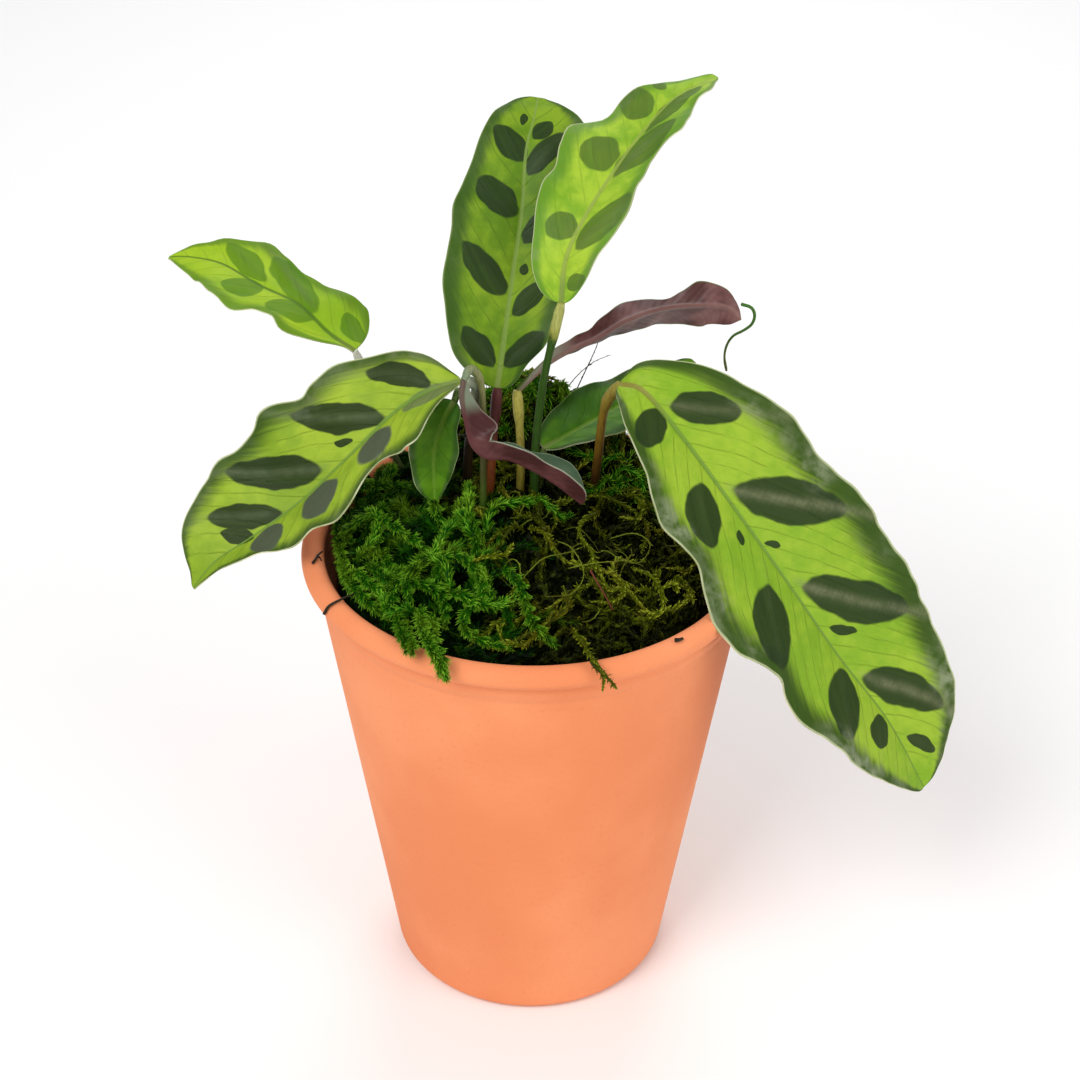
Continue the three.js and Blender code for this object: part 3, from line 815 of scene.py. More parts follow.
def evaluated_mesh(thing: Thing) -> bpy.types.Mesh:
    """A plain copy of an object's mesh with its modifiers worked in."""
    bpy.context.view_layer.update()
    return bpy.data.meshes.new_from_object(thing.evaluated_get(bpy.context.evaluated_depsgraph_get()))


def write_attribute(thing: Thing, name: str, values: Array) -> None:
    """Gives each vertex of a mesh a number, or a vector.

    Args:
        thing: the object.
        name: the attribute's name.
        values: a row for each vertex.
    """
    vector = values.ndim == 2
    kind = "FLOAT_VECTOR" if vector else "FLOAT"
    attribute = thing.data.attributes.new(name, kind, "POINT")
    attribute.data.foreach_set("vector" if vector else "value", values.astype(np.float32).ravel())


def smooth(thing: Thing) -> None:
    """Shades a mesh smooth."""
    thing.data.polygons.foreach_set("use_smooth", [True] * len(thing.data.polygons))


def finish_piece(thing: Thing, slot: Slot, *nodes: str) -> None:
    """Hands a finished piece to the frame.

    Args:
        thing: the piece.
        slot: the record's slot for the piece; not used.
        nodes: the CAD nodes that it stands for.
    """
    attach(thing, BODY)
    if nodes:
        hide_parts(*nodes)
    LOG.info("%s: %d faces%s", thing.name, len(thing.data.polygons), f", for {nodes}" if nodes else "")


# ---- geometry trees


class Grower(Bench):
    """A geometry tree with named inputs, run once on an object to make a plain mesh.

    Args:
        name: the tree's name.
        inputs: each input's name with what it holds, such as Float.
    """

    def __init__(self, name: str, inputs: dict[str, str]) -> None:
        """Makes the tree with its inputs and its one output."""
        super().__init__(bpy.data.node_groups.new(name, "GeometryNodeTree"))
        self.tree.interface.new_socket("Geometry", in_out="INPUT", socket_type="NodeSocketGeometry")
        self.names: dict[str, str] = {}
        for label, kind in inputs.items():
            socket = self.tree.interface.new_socket(label, in_out="INPUT", socket_type=f"NodeSocket{kind}")
            self.names[label] = socket.identifier
        self.tree.interface.new_socket("Geometry", in_out="OUTPUT", socket_type="NodeSocketGeometry")
        self.source = self.add("NodeGroupInput")
        self.sink = self.add("NodeGroupOutput")

    def given(self, name: str) -> Socket:
        """The output that carries one of the tree's inputs."""
        return self.source.outputs[name]

    def resampled(self, line: object, length: object) -> Node:
        """The line with its points a given length apart."""
        inputs = {"Curve": line, "Length": length}
        return self.add("GeometryNodeResampleCurve", inputs, mode="LENGTH")

    def marked(self, line: object, name: str, value: object) -> Node:
        """Keeps a number on a line's points.

        Args:
            line: the line.
            name: the name it is kept under.
            value: the number.

        Returns:
            The line with it.
        """
        inputs = {"Geometry": line, "Name": name}
        node = self.add("GeometryNodeStoreNamedAttribute", inputs, data_type="FLOAT", domain="POINT")
        self.feed(node.inputs["Value"], value)
        return node

    def tube(self, line: object, radius: object, sides: object) -> Node:
        """Draws a smooth round tube, closed at its ends.

        Args:
            line: the line it follows.
            radius: its radius.
            sides: how many sides it has.

        Returns:
            The tube.
        """
        ring = self.add("GeometryNodeCurvePrimitiveCircle", {"Resolution": sides, "Radius": 1.0})
        inputs = {"Curve": line, "Profile Curve": ring.outputs["Curve"], "Scale": radius, "Fill Caps": True}
        mesh = self.add("GeometryNodeCurveToMesh", inputs)
        return self.add("GeometryNodeSetShadeSmooth", {"Geometry": mesh})

    def chance(self, low: float, high: float) -> Socket:
        """A random number for each point, from the seed that the tree is given."""
        inputs = {2: low, 3: high, "Seed": self.given("Seed")}
        return self.add("FunctionNodeRandomValue", inputs, data_type="FLOAT").outputs[1]

    def close(self, geometry: object) -> None:
        """Ends the tree: its instances become real and take the material.

        Args:
            geometry: what the tree has made.
        """
        real = self.add("GeometryNodeRealizeInstances", {0: geometry})
        inputs = {"Geometry": real, "Material": self.given("Material")}
        self.feed(self.sink.inputs[0], self.add("GeometryNodeSetMaterial", inputs))

    def grow(self, carrier: Thing, name: str, values: dict[str, object]) -> Thing:
        """Runs the tree on a carrier and keeps what it makes.

        Args:
            carrier: the object whose geometry the tree starts from. It is removed.
            name: the new piece's name.
            values: what goes into the tree's inputs, by name.

        Returns:
            A new object with a plain mesh.
        """
        modifier = carrier.modifiers.new("grow", "NODES")
        modifier.node_group = self.tree
        for label, value in values.items():
            modifier[self.names[label]] = value
        mesh = evaluated_mesh(carrier)
        mesh.name = name
        carrier.modifiers.remove(modifier)
        bpy.data.objects.remove(carrier)
        return placed(name, mesh)


class StalkTree(Grower):
    """Draws a round stalk round the points of a line, thicker at the foot and at the knee."""

    KNEE_STARTS = (0.84, 0.9)  # where the knee begins and is whole, as shares of the length
    KNEE_ENDS = (1.0, 0.97)

    def __init__(self) -> None:
        """Builds the tree."""
        super().__init__("stalk_tree", {
            "Radius": "Float", "Taper": "Float", "Knee": "Float", "Sides": "Int", "Step": "Float",
            "Material": "Material",
        })
        line = self.add("GeometryNodeMeshToCurve", {0: self.given("Geometry")})
        share = self.add("GeometryNodeSplineParameter").outputs["Factor"]
        kept = self.marked(self.resampled(line, self.given("Step")), "stalk_share", share)
        slim = self.sum("SUBTRACT", 1.0, self.times(share, self.given("Taper")))
        knee = self.times(self.step(share, *self.KNEE_STARTS), self.step(share, *self.KNEE_ENDS))
        girth = self.sum("MULTIPLY_ADD", knee, self.given("Knee"), slim)
        radius = self.times(girth, self.given("Radius"))
        self.close(self.tube(kept, radius, self.given("Sides")))


class RopeTree(Grower):
    """Draws moss shoots along lines: a stem, with leaflets set round it in a spiral."""

    STEM_STEP = 1.4
    STEM_SIDES = 5
    STEM_TAPER = 0.6  # the share of its radius that a stem loses
    STEM_FOOT = (-0.1, 0.12)  # where a stem grows to its full radius
    GOLDEN = 2.39996  # radians from one leaflet to the next
    UNEVEN_TURN = (-0.5, 0.5)
    UNEVEN_SIZE = (0.7, 1.15)
    LEAFLETS_GROW = (-0.5, 0.12)  # where leaflets grow to their full length
    LEAFLETS_SHRINK = (0.75, 1.05)  # and where they shrink again
    SHRINK = 0.45  # the share of their length that they lose

    def __init__(self) -> None:
        """Builds the tree."""
        super().__init__("rope_tree", {
            "Stem": "Float", "Gap": "Float", "Leaflet": "Float", "Seed": "Int", "Leaflets": "Collection",
            "Material": "Material",
        })
        line = self.add("GeometryNodeMeshToCurve", {0: self.given("Geometry")})
        share = self.add("GeometryNodeSplineParameter").outputs["Factor"]
        taper = self.sum("MULTIPLY_ADD", share, -self.STEM_TAPER, 1.0)
        slim = self.times(taper, self.step(share, *self.STEM_FOOT))
        radius = self.times(slim, self.given("Stem"))
        stems = self.tube(self.resampled(line, self.STEM_STEP * MM), radius, self.STEM_SIDES)
        whole = self.add("GeometryNodeJoinGeometry")
        for part in (stems, self._leaflets(line, share)):
            self.tree.links.new(part.outputs[0], whole.inputs[0])
        self.close(whole)

    def _leaflets(self, line: object, share: object) -> Node:
        """Sets the leaflets, each one a pattern picked and turned by chance.

        Args:
            line: the shoots' lines.
            share: how far along its line a point lies.

        Returns:
            The leaflets.
        """
        kept = self.marked(self.resampled(line, self.given("Gap")), "far", share)
        points = self.add("GeometryNodeCurveToPoints", {"Curve": kept}, mode="EVALUATED")
        turn = self.add("FunctionNodeAlignRotationToVector", {"Vector": points.outputs["Tangent"]}, axis="Z")
        number = self.add("GeometryNodeInputIndex").outputs[0]
        spin = self.sum("MULTIPLY_ADD", number, self.GOLDEN, self.chance(*self.UNEVEN_TURN))
        spin = self.add("FunctionNodeEulerToRotation", {0: self.add("ShaderNodeCombineXYZ", {2: spin})})
        spun = self.add("FunctionNodeRotateRotation", {0: turn, 1: spin}, rotation_space="LOCAL")
        far = self.add("GeometryNodeInputNamedAttribute", {"Name": "far"}, data_type="FLOAT").outputs[0]
        shrunk = self.sum("MULTIPLY_ADD", self.step(far, *self.LEAFLETS_SHRINK), -self.SHRINK, 1.0)
        swell = self.times(self.step(far, *self.LEAFLETS_GROW), shrunk)
        size = self.times(self.chance(*self.UNEVEN_SIZE), swell)
        sorts = {"Collection": self.given("Leaflets"), "Separate Children": True, "Reset Children": True}
        inputs = {
            "Points": points.outputs["Points"],
            "Instance": self.add("GeometryNodeCollectionInfo", sorts),
            "Pick Instance": True,
            "Rotation": spun,
            "Scale": self.times(size, self.given("Leaflet")),
        }
        return self.add("GeometryNodeInstanceOnPoints", inputs)


# ---- the pot and its soil


@dataclass
class TerracottaPot:
    """The pot: a thrown cone with a rolled lip over a low collar, and three drain holes.

    Attributes:
        height: from the foot to the top of the lip.
        rim_radius: the widest radius, at the lip.
        lip_radius: the roundness of the lip.
        collar_radius: the radius of the collar under the lip.
        collar_drop: how far the collar reaches down from the top.
        ridge: how far the collar stands out of the wall.
        foot_radius: the radius at the foot.
        foot_rounding: the roundness of the foot's edge.
        wall: the wall's thickness.
        floor: the floor's thickness.
        drains: the number of drain holes.
        drain_radius: their radius.
        drain_ring: how far they lie from the axis.
        segments: how many steps make the round.
    """

    height: float = 134.0
    rim_radius: float = 60.0
    lip_radius: float = 3.0
    collar_radius: float = 56.8
    collar_drop: float = 10.3
    ridge: float = 0.8
    foot_radius: float = 38.0
    foot_rounding: float = 3.0
    wall: float = 5.0
    floor: float = 6.0
    drains: int = 3
    drain_radius: float = 3.5
    drain_ring: float = 18.0
    segments: int = 192

    STAGE = 2.4  # the height of the step from wall to collar
    HEEL = 4.0  # the roundness of the inside where the wall meets the floor
    LIP_TURN = (-0.75, math.pi + 0.5)  # where the lip's round starts and ends, in radians
    TUCK = (0.05, 2.6)  # how far the collar's top stands out, and how far it lies under the lip's middle
    WALL_CLEAR = (4.0, 1.6)  # how far the wall's points keep from its two ends
    CORNER_POINTS = 7
    WALL_POINTS = 24
    LIP_POINTS = 21
    INSIDE_POINTS = 16
    HEEL_POINTS = 5
    SHARP = 50  # edges are sharp from this angle on, in degrees

    @property
    def collar_z(self) -> float:
        """The height of the collar's lower edge."""
        return self.height - self.collar_drop

    def outer(self, z: float) -> float:
        """The radius of the wall's outside at a height."""
        slope = (self.collar_radius - self.ridge - self.foot_radius) / self.collar_z
        return self.foot_radius + slope * z

    def inner(self, z: float) -> float:
        """The radius of the wall's inside at a height."""
        return self.foot_radius + (self.collar_radius - self.foot_radius) * z / self.collar_z - self.wall

    def profile(self) -> list[tuple[float, float]]:
        """The section from the middle of the underside round the lip to the middle of the floor.

        Returns:
            The radius and height of each point.
        """
        points = [(0.0, 0.0), (self.foot_radius / 2, 0.0)]
        for angle in np.linspace(0, math.pi / 2, self.CORNER_POINTS):
            rise = self.foot_rounding * (1 - math.cos(angle))
            points.append((self.outer(rise) - self.foot_rounding * (1 - math.sin(angle)), rise))
        low, high = self.foot_rounding + self.WALL_CLEAR[0], self.collar_z - self.WALL_CLEAR[1]
        for z in np.linspace(low, high, self.WALL_POINTS):
            points.append((self.outer(z), z))
        for angle in np.linspace(0, math.pi, self.CORNER_POINTS):
            turn = (1 - math.cos(angle)) / 2
            z = self.collar_z + self.STAGE * (turn - 0.5)
            points.append((self.outer(z) * (1 - turn) + self.collar_radius * turn, z))
        lip = (self.rim_radius - self.lip_radius, self.height - self.lip_radius)
        points.append((self.collar_radius + self.TUCK[0], lip[1] - self.TUCK[1]))
        for angle in np.linspace(*self.LIP_TURN, self.LIP_POINTS):
            aside, rise = self.lip_radius * math.cos(angle), self.lip_radius * math.sin(angle)
            points.append((lip[0] + aside, lip[1] + rise))
        for z in np.linspace(self.collar_z, self.floor + self.HEEL + 1, self.INSIDE_POINTS):
            points.append((self.inner(z), z))
        for angle in np.linspace(0, math.pi / 2, self.HEEL_POINTS):
            inset, rise = self.HEEL * (1 - math.cos(angle)), self.HEEL * (1 - math.sin(angle))
            points.append((self.inner(self.floor) - inset, self.floor + rise))
        points.append((0.0, self.floor))
        return points

    def build(self) -> None:
        """Turns the section, cuts the drain holes and dresses the pot."""
        thing = lathe("pot_body", self.profile(), self.segments)
        for number in range(self.drains):
            self._cut_drain(thing, number / self.drains * TURN + math.pi / 2)
        smooth(thing)
        thing.data.set_sharp_from_angle(angle=math.radians(self.SHARP))
        thing.data.materials.append(Terracotta().material())
        finish_piece(thing, Slot.TERRACOTTA, "pot")

    def _cut_drain(self, thing: Thing, angle: float) -> None:
        """Cuts one drain hole.

        Args:
            thing: the pot.
            angle: where it lies round the axis, in radians.
        """
        reach = self.floor * 2
        section = [(0, -reach), (self.drain_radius, -reach), (self.drain_radius, reach), (0, reach)]
        drill = lathe("drill", section, 32)
        spot = Vector((math.cos(angle), math.sin(angle), 0)) * self.drain_ring * MM
        drill.data.transform(Matrix.Translation(spot))
        cut = thing.modifiers.new("drain", "BOOLEAN")
        cut.operation, cut.solver, cut.object = "DIFFERENCE", "EXACT", drill
        thing.data = evaluated_mesh(thing)
        thing.modifiers.clear()
        bpy.data.objects.remove(drill)


def lathe(name: str, profile: Sequence[tuple[float, float]], segments: int) -> Thing:
    """A round body turned about the Z axis, closed where its section meets the axis.

    Args:
        name: the object's name.
        profile: the radius and height of each point, outwards facing when it runs anticlockwise.
        segments: how many steps make the round.

    Returns:
        The object.
    """
    points: list[Point] = []
    rings: list[list[int]] = []
    for radius, z in profile:
        start = len(points)
        if radius == 0:
            points.append((0.0, 0.0, z))
            rings.append([start] * segments)
            continue
        for k in range(segments):
            angle = TURN * k / segments
            points.append((radius * math.cos(angle), radius * math.sin(angle), z))
        rings.append(list(range(start, start + segments)))
    faces = []
    for low, high in zip(rings, rings[1:]):
        for k in range(segments):
            after = (k + 1) % segments
            corners = (low[k], low[after], high[after], high[k])
            faces.append(tuple(dict.fromkeys(corners)))
    return mesh_object(name, points, faces)


# ---- moss


@dataclass(frozen=True)
class Hill:
    """A rounded hill of the moss: its centre, its radius and its height over the moss's edge."""

    x: float
    y: float
    radius: float
    height: float

    def rise(self, x: Array, y: Array) -> Array:
        """How far the hill lifts the moss over points."""
        return self.height * np.exp(-((x - self.x) ** 2 + (y - self.y) ** 2) / (2 * self.radius**2))


@dataclass(frozen=True)
class Shoot:
    """A moss shoot whose points are listed.

    Attributes:
        points: the points it runs through.
        tone: how bright it is, 1 where it is in full colour, and less where it is in painted shade.
    """

    points: tuple[Point, ...]
    tone: float = 1.0


@dataclass(frozen=True)
class Growth:
    """How a sort of moss shoot grows where it is left to chance.

    Attributes:
        count: the number of shoots.
        length: the shortest and the longest.
        bend: how sharply they wind, in radians for each millimetre.
        above: the lowest and highest that they lie over the mat.
        stem: the stem's radius.
        gap: the distance between leaflets.
        leaflet: the length of the longest leaflet.
        tone: how bright the lowest and the highest are, as painted shade that darkens the low ones.
        lift: how far their middles arch up.
        patch: the middle and radius of the patch they start in, or None for the whole bed.
    """

    count: int
    length: tuple[float, float]
    bend: float
    above: tuple[float, float]
    stem: float
    gap: float
    leaflet: float
    tone: tuple[float, float]
    lift: float = 2.5
    patch: tuple[float, float, float] | None = None


@dataclass(frozen=True)
class MossKind:
    """One of the two kinds of moss.

    Attributes:
        word: the word that its node and its pieces carry.
        skin: its finish.
        slot: the record's slot it takes.
        bright: True for the bright moss.
        beds: how its shoots grow where they are left to chance, a piece for each.
        laid: its listed shoots, which join the second bed.
        splays: the angles between its leaflets and their stem, in degrees.
        leaflet_half: half its leaflets' width, as a share of their length.
    """

    word: str
    skin: MossSkin
    slot: Slot
    bright: bool
    beds: tuple[Growth, ...]
    laid: tuple[Shoot, ...]
    splays: tuple[float, ...]
    leaflet_half: float


GREEN_SHOOTS = (
    Shoot(((-47, 9, 133), (-50, -1, 134), (-47, -19, 134), (-43, -28, 134), (-36, -35, 134),
           (-31, -37, 135)), 0.9),
    Shoot(((-33, -26, 136), (-27, -22, 140), (-19, -21, 142), (-14, -26, 141), (-12, -33, 139),
           (-16, -39, 137), (-16, -44, 136), (-11, -48, 135), (-5, -49, 134))),
    Shoot(((-47, 6, 134), (-43, -3, 137), (-38, -14, 138), (-35, -22, 138), (-32, -26, 139),
           (-34, -31, 136)), 0.9),
    Shoot(((-36, -9, 138), (-31, -1, 141), (-24, 1, 142), (-19, -3, 143), (-15, -9, 144), (-14, -19, 142),
           (-15, -24, 139)), 0.8),
    Shoot(((-27, -34, 135), (-27, -41, 137), (-26, -48, 138), (-24, -54, 138), (-22.5, -58.5, 137),
           (-21.7, -60.8, 134))),
    Shoot(((-24, -38, 135), (-24, -46, 137.5), (-23, -53, 138), (-21, -58, 137), (-20, -60.8, 133)), 0.95),
    Shoot(((-25, -44, 136), (-25, -51, 138.5), (-23.5, -56.5, 138.6), (-21.2, -60.2, 136),
           (-20.4, -61.2, 134))),
    Shoot(((-31, -39, 134), (-30, -47, 136), (-28.6, -53, 137.5), (-28.4, -55.6, 137)), 0.9),
    Shoot(((-33, -36, 134), (-32, -44, 136), (-30.5, -51, 137.3), (-30, -54.6, 136.8)), 0.8),
    Shoot(((-50, 16, 134), (-50.5, 8, 136), (-50.3, -2, 136), (-49, -10, 135.5), (-47, -16, 135))),
    Shoot(((-48, -14, 135), (-46, -22, 135.5), (-42, -30, 135.5), (-38, -35, 135))),
    Shoot(((-44, 24, 137), (-46, 15, 139), (-44, 5, 139), (-39, -2, 139)), 0.7),
    Shoot(((-10, -30, 136), (-6, -35, 136), (-6, -42, 135), (-9, -47, 134)), 0.6),
    Shoot(((-7, -22, 139), (-3, -29, 139), (-1, -37, 137), (1, -43, 136), (6, -48, 134)), 0.95),
    Shoot(((-20, -30, 138), (-22, -25, 142), (-27, -24, 143), (-31, -29, 141), (-30, -35, 138)), 0.9),
    Shoot(((-41, -18, 137), (-36, -27, 139), (-28, -30, 140), (-22, -35, 139), (-21, -43, 136)), 0.85),
    Shoot(((-24, 12, 136), (-27, 20, 140), (-33, 26, 142), (-38, 28, 141)), 0.5),
    Shoot(((8, 36, 143), (12, 40, 148), (17, 42, 150), (22, 40, 147)), 0.7),
    Shoot(((24, 34, 138), (28, 36, 143), (33, 35, 143), (37, 30, 139)), 0.8),
)
OLIVE_SHOOTS = (
    Shoot(((-1, -7, 141), (3, -12, 143), (7, -21, 142), (10, -23, 141), (16, -23, 140))),
    Shoot(((17, -2, 143), (13, -9, 144.5), (12, -14, 144), (15, -19, 142), (16, -24, 141), (21, -27, 140),
           (23, -31, 139), (20, -35, 138), (15, -35, 138))),
    Shoot(((25, -20, 138), (30, -24, 138), (32, -30, 138), (32, -36, 136), (27, -35, 135))),
    Shoot(((32, -30, 138), (35, -28, 139), (36, -30, 138))),
    Shoot(((14, 7, 142), (20, 6, 142), (27, 2, 140), (30, -4, 139), (28, -14, 139)), 0.75),
    Shoot(((6, 2, 143), (2, -2, 145), (2, -9, 144), (6, -14, 141)), 0.5),
    Shoot(((10, -42, 134), (12, -49, 136.5), (14, -55, 136.8), (17, -59.5, 134), (17, -61, 130.5)), 0.8),
    Shoot(((14, -57, 136), (18, -60, 133.6), (20, -60.3, 131)), 0.6),
    Shoot(((-17, -23, 141), (-12, -22, 142), (-6, -20, 142))),
    Shoot(((-7, -20.5, 142), (-5, -17, 142.5))),
    Shoot(((-8, 34, 140), (-10, 38, 146), (-7, 41, 150), (-2, 40, 151)), 0.5),
    Shoot(((2, 36, 143), (3, 39, 149), (7, 40, 152), (12, 37, 149)), 0.6),
    Shoot(((-4, -45, 133), (4, -41, 136), (9, -36, 137), (8, -29, 138)), 0.6),
    Shoot(((36, -20, 135), (38, -27, 138), (40, -33, 137)), 0.8),
)
THREADS = (
    Shoot(((9, -25, 141), (16, -24, 142), (22, -23, 142), (25, -20, 141.5), (25, -16, 141))),
    Shoot(((6, -14, 142), (10, -19, 143), (13, -27, 141), (10, -33, 139), (4, -33, 138)), 0.7),
    Shoot(((20, -10, 140), (26, -9, 141), (30, -14, 141), (27, -21, 140), (22, -20, 141)), 0.9),
    Shoot(((-2, -26, 139), (3, -22, 142), (9, -21, 143), (14, -16, 142)), 0.6),
    Shoot(((4, 37, 146), (10, 41, 156), (16, 44, 161), (21, 45, 163)), 0.1),
    Shoot(((10, 40, 150), (13, 43, 156), (17, 45, 165), (19, 46, 172), (22, 46, 177), (26, 46, 178)), 0.1),
)
GREEN_TUFT = Growth(count=70, length=(9, 18), bend=0.22, above=(0.2, 3.4), stem=0.7, gap=0.11, leaflet=2.2,
                    tone=(1.0, 1.6), patch=(-4.0, 36.0, 17.0))
OLIVE_TUFT = Growth(count=26, length=(10, 22), bend=0.2, above=(-0.3, 2.5), stem=0.45, gap=0.26, leaflet=1.8,
                    tone=(0.1, 0.6), patch=(26.0, -36.0, 13.0))
GREEN_MOSS = MossKind(
    "green",
    MossSkin("moss_green", deep_shade=srgb(3, 18, 0), body=srgb(40, 116, 0), tip=srgb(164, 222, 58),
             dry=srgb(130, 138, 22), dry_share=0.34, stem_share=0.35),
    Slot.MOSS_GREEN,
    bright=True,
    beds=(
        Growth(count=110, length=(16, 30), bend=0.1, above=(-0.3, 2.2), lift=2.0, stem=0.8, gap=0.12,
               leaflet=2.4, tone=(0.05, 0.5)),
        Growth(count=34, length=(18, 30), bend=0.12, above=(2.2, 5.2), lift=3.0, stem=0.9, gap=0.052,
               leaflet=2.4, tone=(0.45, 1.1)),
        GREEN_TUFT,
        replace(GREEN_TUFT, count=20, length=(8, 16), patch=(27.0, 20.0, 9.0)),
    ),
    laid=GREEN_SHOOTS,
    splays=(36, 52, 66, 80),
    leaflet_half=0.1,
)
OLIVE_MOSS = MossKind(
    "olive",
    MossSkin("moss_olive", deep_shade=srgb(10, 15, 0), body=srgb(98, 112, 4), tip=srgb(188, 196, 60),
             dry=srgb(98, 76, 12), dry_share=0.4, stem_share=0.55),
    Slot.MOSS_OLIVE,
    bright=False,
    beds=(
        Growth(count=230, length=(14, 28), bend=0.14, above=(-0.3, 2.0), lift=2.0, stem=0.5, gap=0.3,
               leaflet=1.9, tone=(0.0, 0.3)),
        Growth(count=84, length=(14, 30), bend=0.18, above=(1.0, 4.5), stem=0.62, gap=0.2,
               leaflet=1.7, tone=(0.25, 1.0)),
        OLIVE_TUFT,
        replace(OLIVE_TUFT, count=18, tone=(0.1, 0.5), patch=(43.0, -14.0, 11.0)),
    ),
    laid=OLIVE_SHOOTS,
    splays=(14, 28, 46, 80),
    leaflet_half=0.26,
)
STRING_SKIN = MossSkin("moss_string", deep_shade=srgb(26, 32, 4), body=srgb(122, 136, 36), tip=srgb(190, 198, 96),
                       dry=srgb(104, 84, 22), dry_share=0.5, stem_share=1.0)


@dataclass
class MossBed:
    """The moss over the soil: bright and feathery at the left and front, dry and stringy elsewhere.

    Attributes:
        radius: how far it reaches from the pot's axis.
        bottom: the height of its underside.
        edge_height: the height of its top at the edge.
        lump: how high its small cushions are.
        lump_length: the distance between them.
        hills: its hills.
        border: points of the line between the two kinds, with the bright one at the left.
        threads: how its thin threads grow.
        roof: points under the low leaf at the back, each at the height that shoots stay below there.
        rings: how many rings of faces each mat has.
        segments: how many steps make its round.
    """

    radius: float = 51.0
    bottom: float = 121.3
    edge_height: float = 129.0
    lump: float = 1.3
    lump_length: float = 9.0
    hills: tuple[Hill, ...] = (
        Hill(4, 32, 15, 13), Hill(-26, -14, 17, 6), Hill(22, -8, 17, 5), Hill(-6, 2, 14, 6),
        Hill(-32, 26, 14, 8), Hill(-42, 2, 12, 5), Hill(28, 30, 13, 7), Hill(-10, 38, 12, 17),
        Hill(10, 44, 9, 12),
    )
    border: tuple[tuple[float, float], ...] = (
        (-9, -70), (-9, -50), (-6, -38), (-10, -26), (-8, -14), (-14, -4), (-20, 6), (-27, 14), (-34, 30),
        (-38, 70),
    )
    threads: Growth = Growth(count=30, length=(12, 24), bend=0.28, above=(1.5, 4.5),
                             stem=0.19, gap=1.3, leaflet=0.9, tone=(0.2, 0.9))
    roof: tuple[Point, ...] = (
        (3, 16, 146.5), (11, 23, 147.5), (19, 30, 148.5), (28, 37, 150), (37, 44, 152),
    )
    rings: int = 46
    segments: int = 150

    SEED = 20
    LEAFLET_SEED = 3
    SWAY = (1.7, 0.21, 0.19)  # how far and how often the rows of cushions wind, and their slant
    EDGE_POWER = 8  # how late the hills sink to the edge
    ROOF_REACH = 11  # how far each point of the roof reaches
    ROUGH_PER_MM = 0.45  # how close the mat's fine roughness lies
    ROUGH = 1.1  # and how high it is
    SUNK = 0.8  # how far the mat lies under the shoots' ground
    # How bright the mat is: painted shade, as it lies under the shoots.
    MAT_SHADE_TONE = 0.22
    CLEAR = 0.5  # how far inside the edge the shoots stay
    STEPS = 11
    SPREAD = 0.98  # the share of a patch's area that shoots start in
    FLAT_ARCH = 0.3  # the share of the full arch that the lowest shoots have
    ARCH_PACE = 1.15  # how much faster the arch runs than its shoot
    ROOT = 1.5  # how far a shoot's foot is sunk
    ROOT_POWER = 6
    UNEVEN_BEND = 0.7
    TURN_BACK = 0.62  # from the edge, as a share of half a turn

    def height(self, x: Array, y: Array) -> Array:
        """The height of the mat, without its shoots.

        Args:
            x: the points' places from left to right.
            y: and from front to back.

        Returns:
            The heights.
        """
        hills = sum(h.rise(x, y) for h in self.hills)
        wave = TURN / self.lump_length
        sway, often, slant = self.SWAY
        lumps = self.lump * np.sin(wave * x + sway * np.sin(often * y)) * np.cos(wave * y + slant * x)
        edge = 1 - np.minimum(np.hypot(x, y) / self.radius, 1) ** self.EDGE_POWER
        return self.edge_height + hills * edge + lumps

    def ceiling(self, x: float, y: float) -> float:
        """The height that shoots stay below, which keeps them under the low leaf at the back."""
        near, height = min((math.hypot(x - a, y - b), c) for a, b, c in self.roof)
        return height if near < self.ROOF_REACH else math.inf

    def is_green(self, x: float, y: float) -> bool:
        """True where the bright moss grows."""
        edge_x, edge_y = zip(*self.border)
        return x < float(np.interp(y, edge_y, edge_x))

    def mat(self, kind: MossKind) -> Thing:
        """The closed mat of one kind of moss.

        Args:
            kind: which moss it is.

        Returns:
            The mat.
        """
        rings, segments = self.rings, self.segments
        radii = self.radius * (np.arange(rings) + 1) / rings
        angles = TURN * np.arange(segments) / segments
        x = np.concatenate([[0.0], np.outer(radii, np.cos(angles)).ravel()])
        y = np.concatenate([[0.0], np.outer(radii, np.sin(angles)).ravel()])
        grain = self.ROUGH_PER_MM
        rough = np.array([noise.noise(Vector((a * grain, b * grain, 3.0))) for a, b in zip(x, y)])
        z = self.height(x, y) + self.ROUGH * rough - self.SUNK
        faces = [(0, 1 + k, 1 + (k + 1) % segments) for k in range(segments)]
        for ring in range(rings - 1):
            for k in range(segments):
                low, after = 1 + ring * segments, (k + 1) % segments
                faces.append((low + k, low + segments + k, low + segments + after, low + after))
        middle = [(np.mean(x[list(f)]), np.mean(y[list(f)])) for f in faces]
        kept = [f for f, m in zip(faces, middle) if self.is_green(*m) == kind.bright]
        thing = mesh_object(f"moss_{kind.word}_mat", np.stack([x, y, z], -1), kept)
        self._close(thing)
        smooth(thing)
        return thing

    def _close(self, thing: Thing) -> None:
        """Gives an open top its walls and its flat underside.

        Args:
            thing: the mat.
        """
        mesh = bmesh.new()
        mesh.from_mesh(thing.data)
        bmesh.ops.delete(mesh, geom=[v for v in mesh.verts if not v.link_faces], context="VERTS")
        grown = bmesh.ops.extrude_face_region(mesh, geom=mesh.faces[:], use_keep_orig=True)
        for item in grown["geom"]:
            if isinstance(item, bmesh.types.BMVert):
                item.co.z = self.bottom * MM
        bmesh.ops.recalc_face_normals(mesh, faces=mesh.faces[:])
        mesh.to_mesh(thing.data)
        mesh.free()

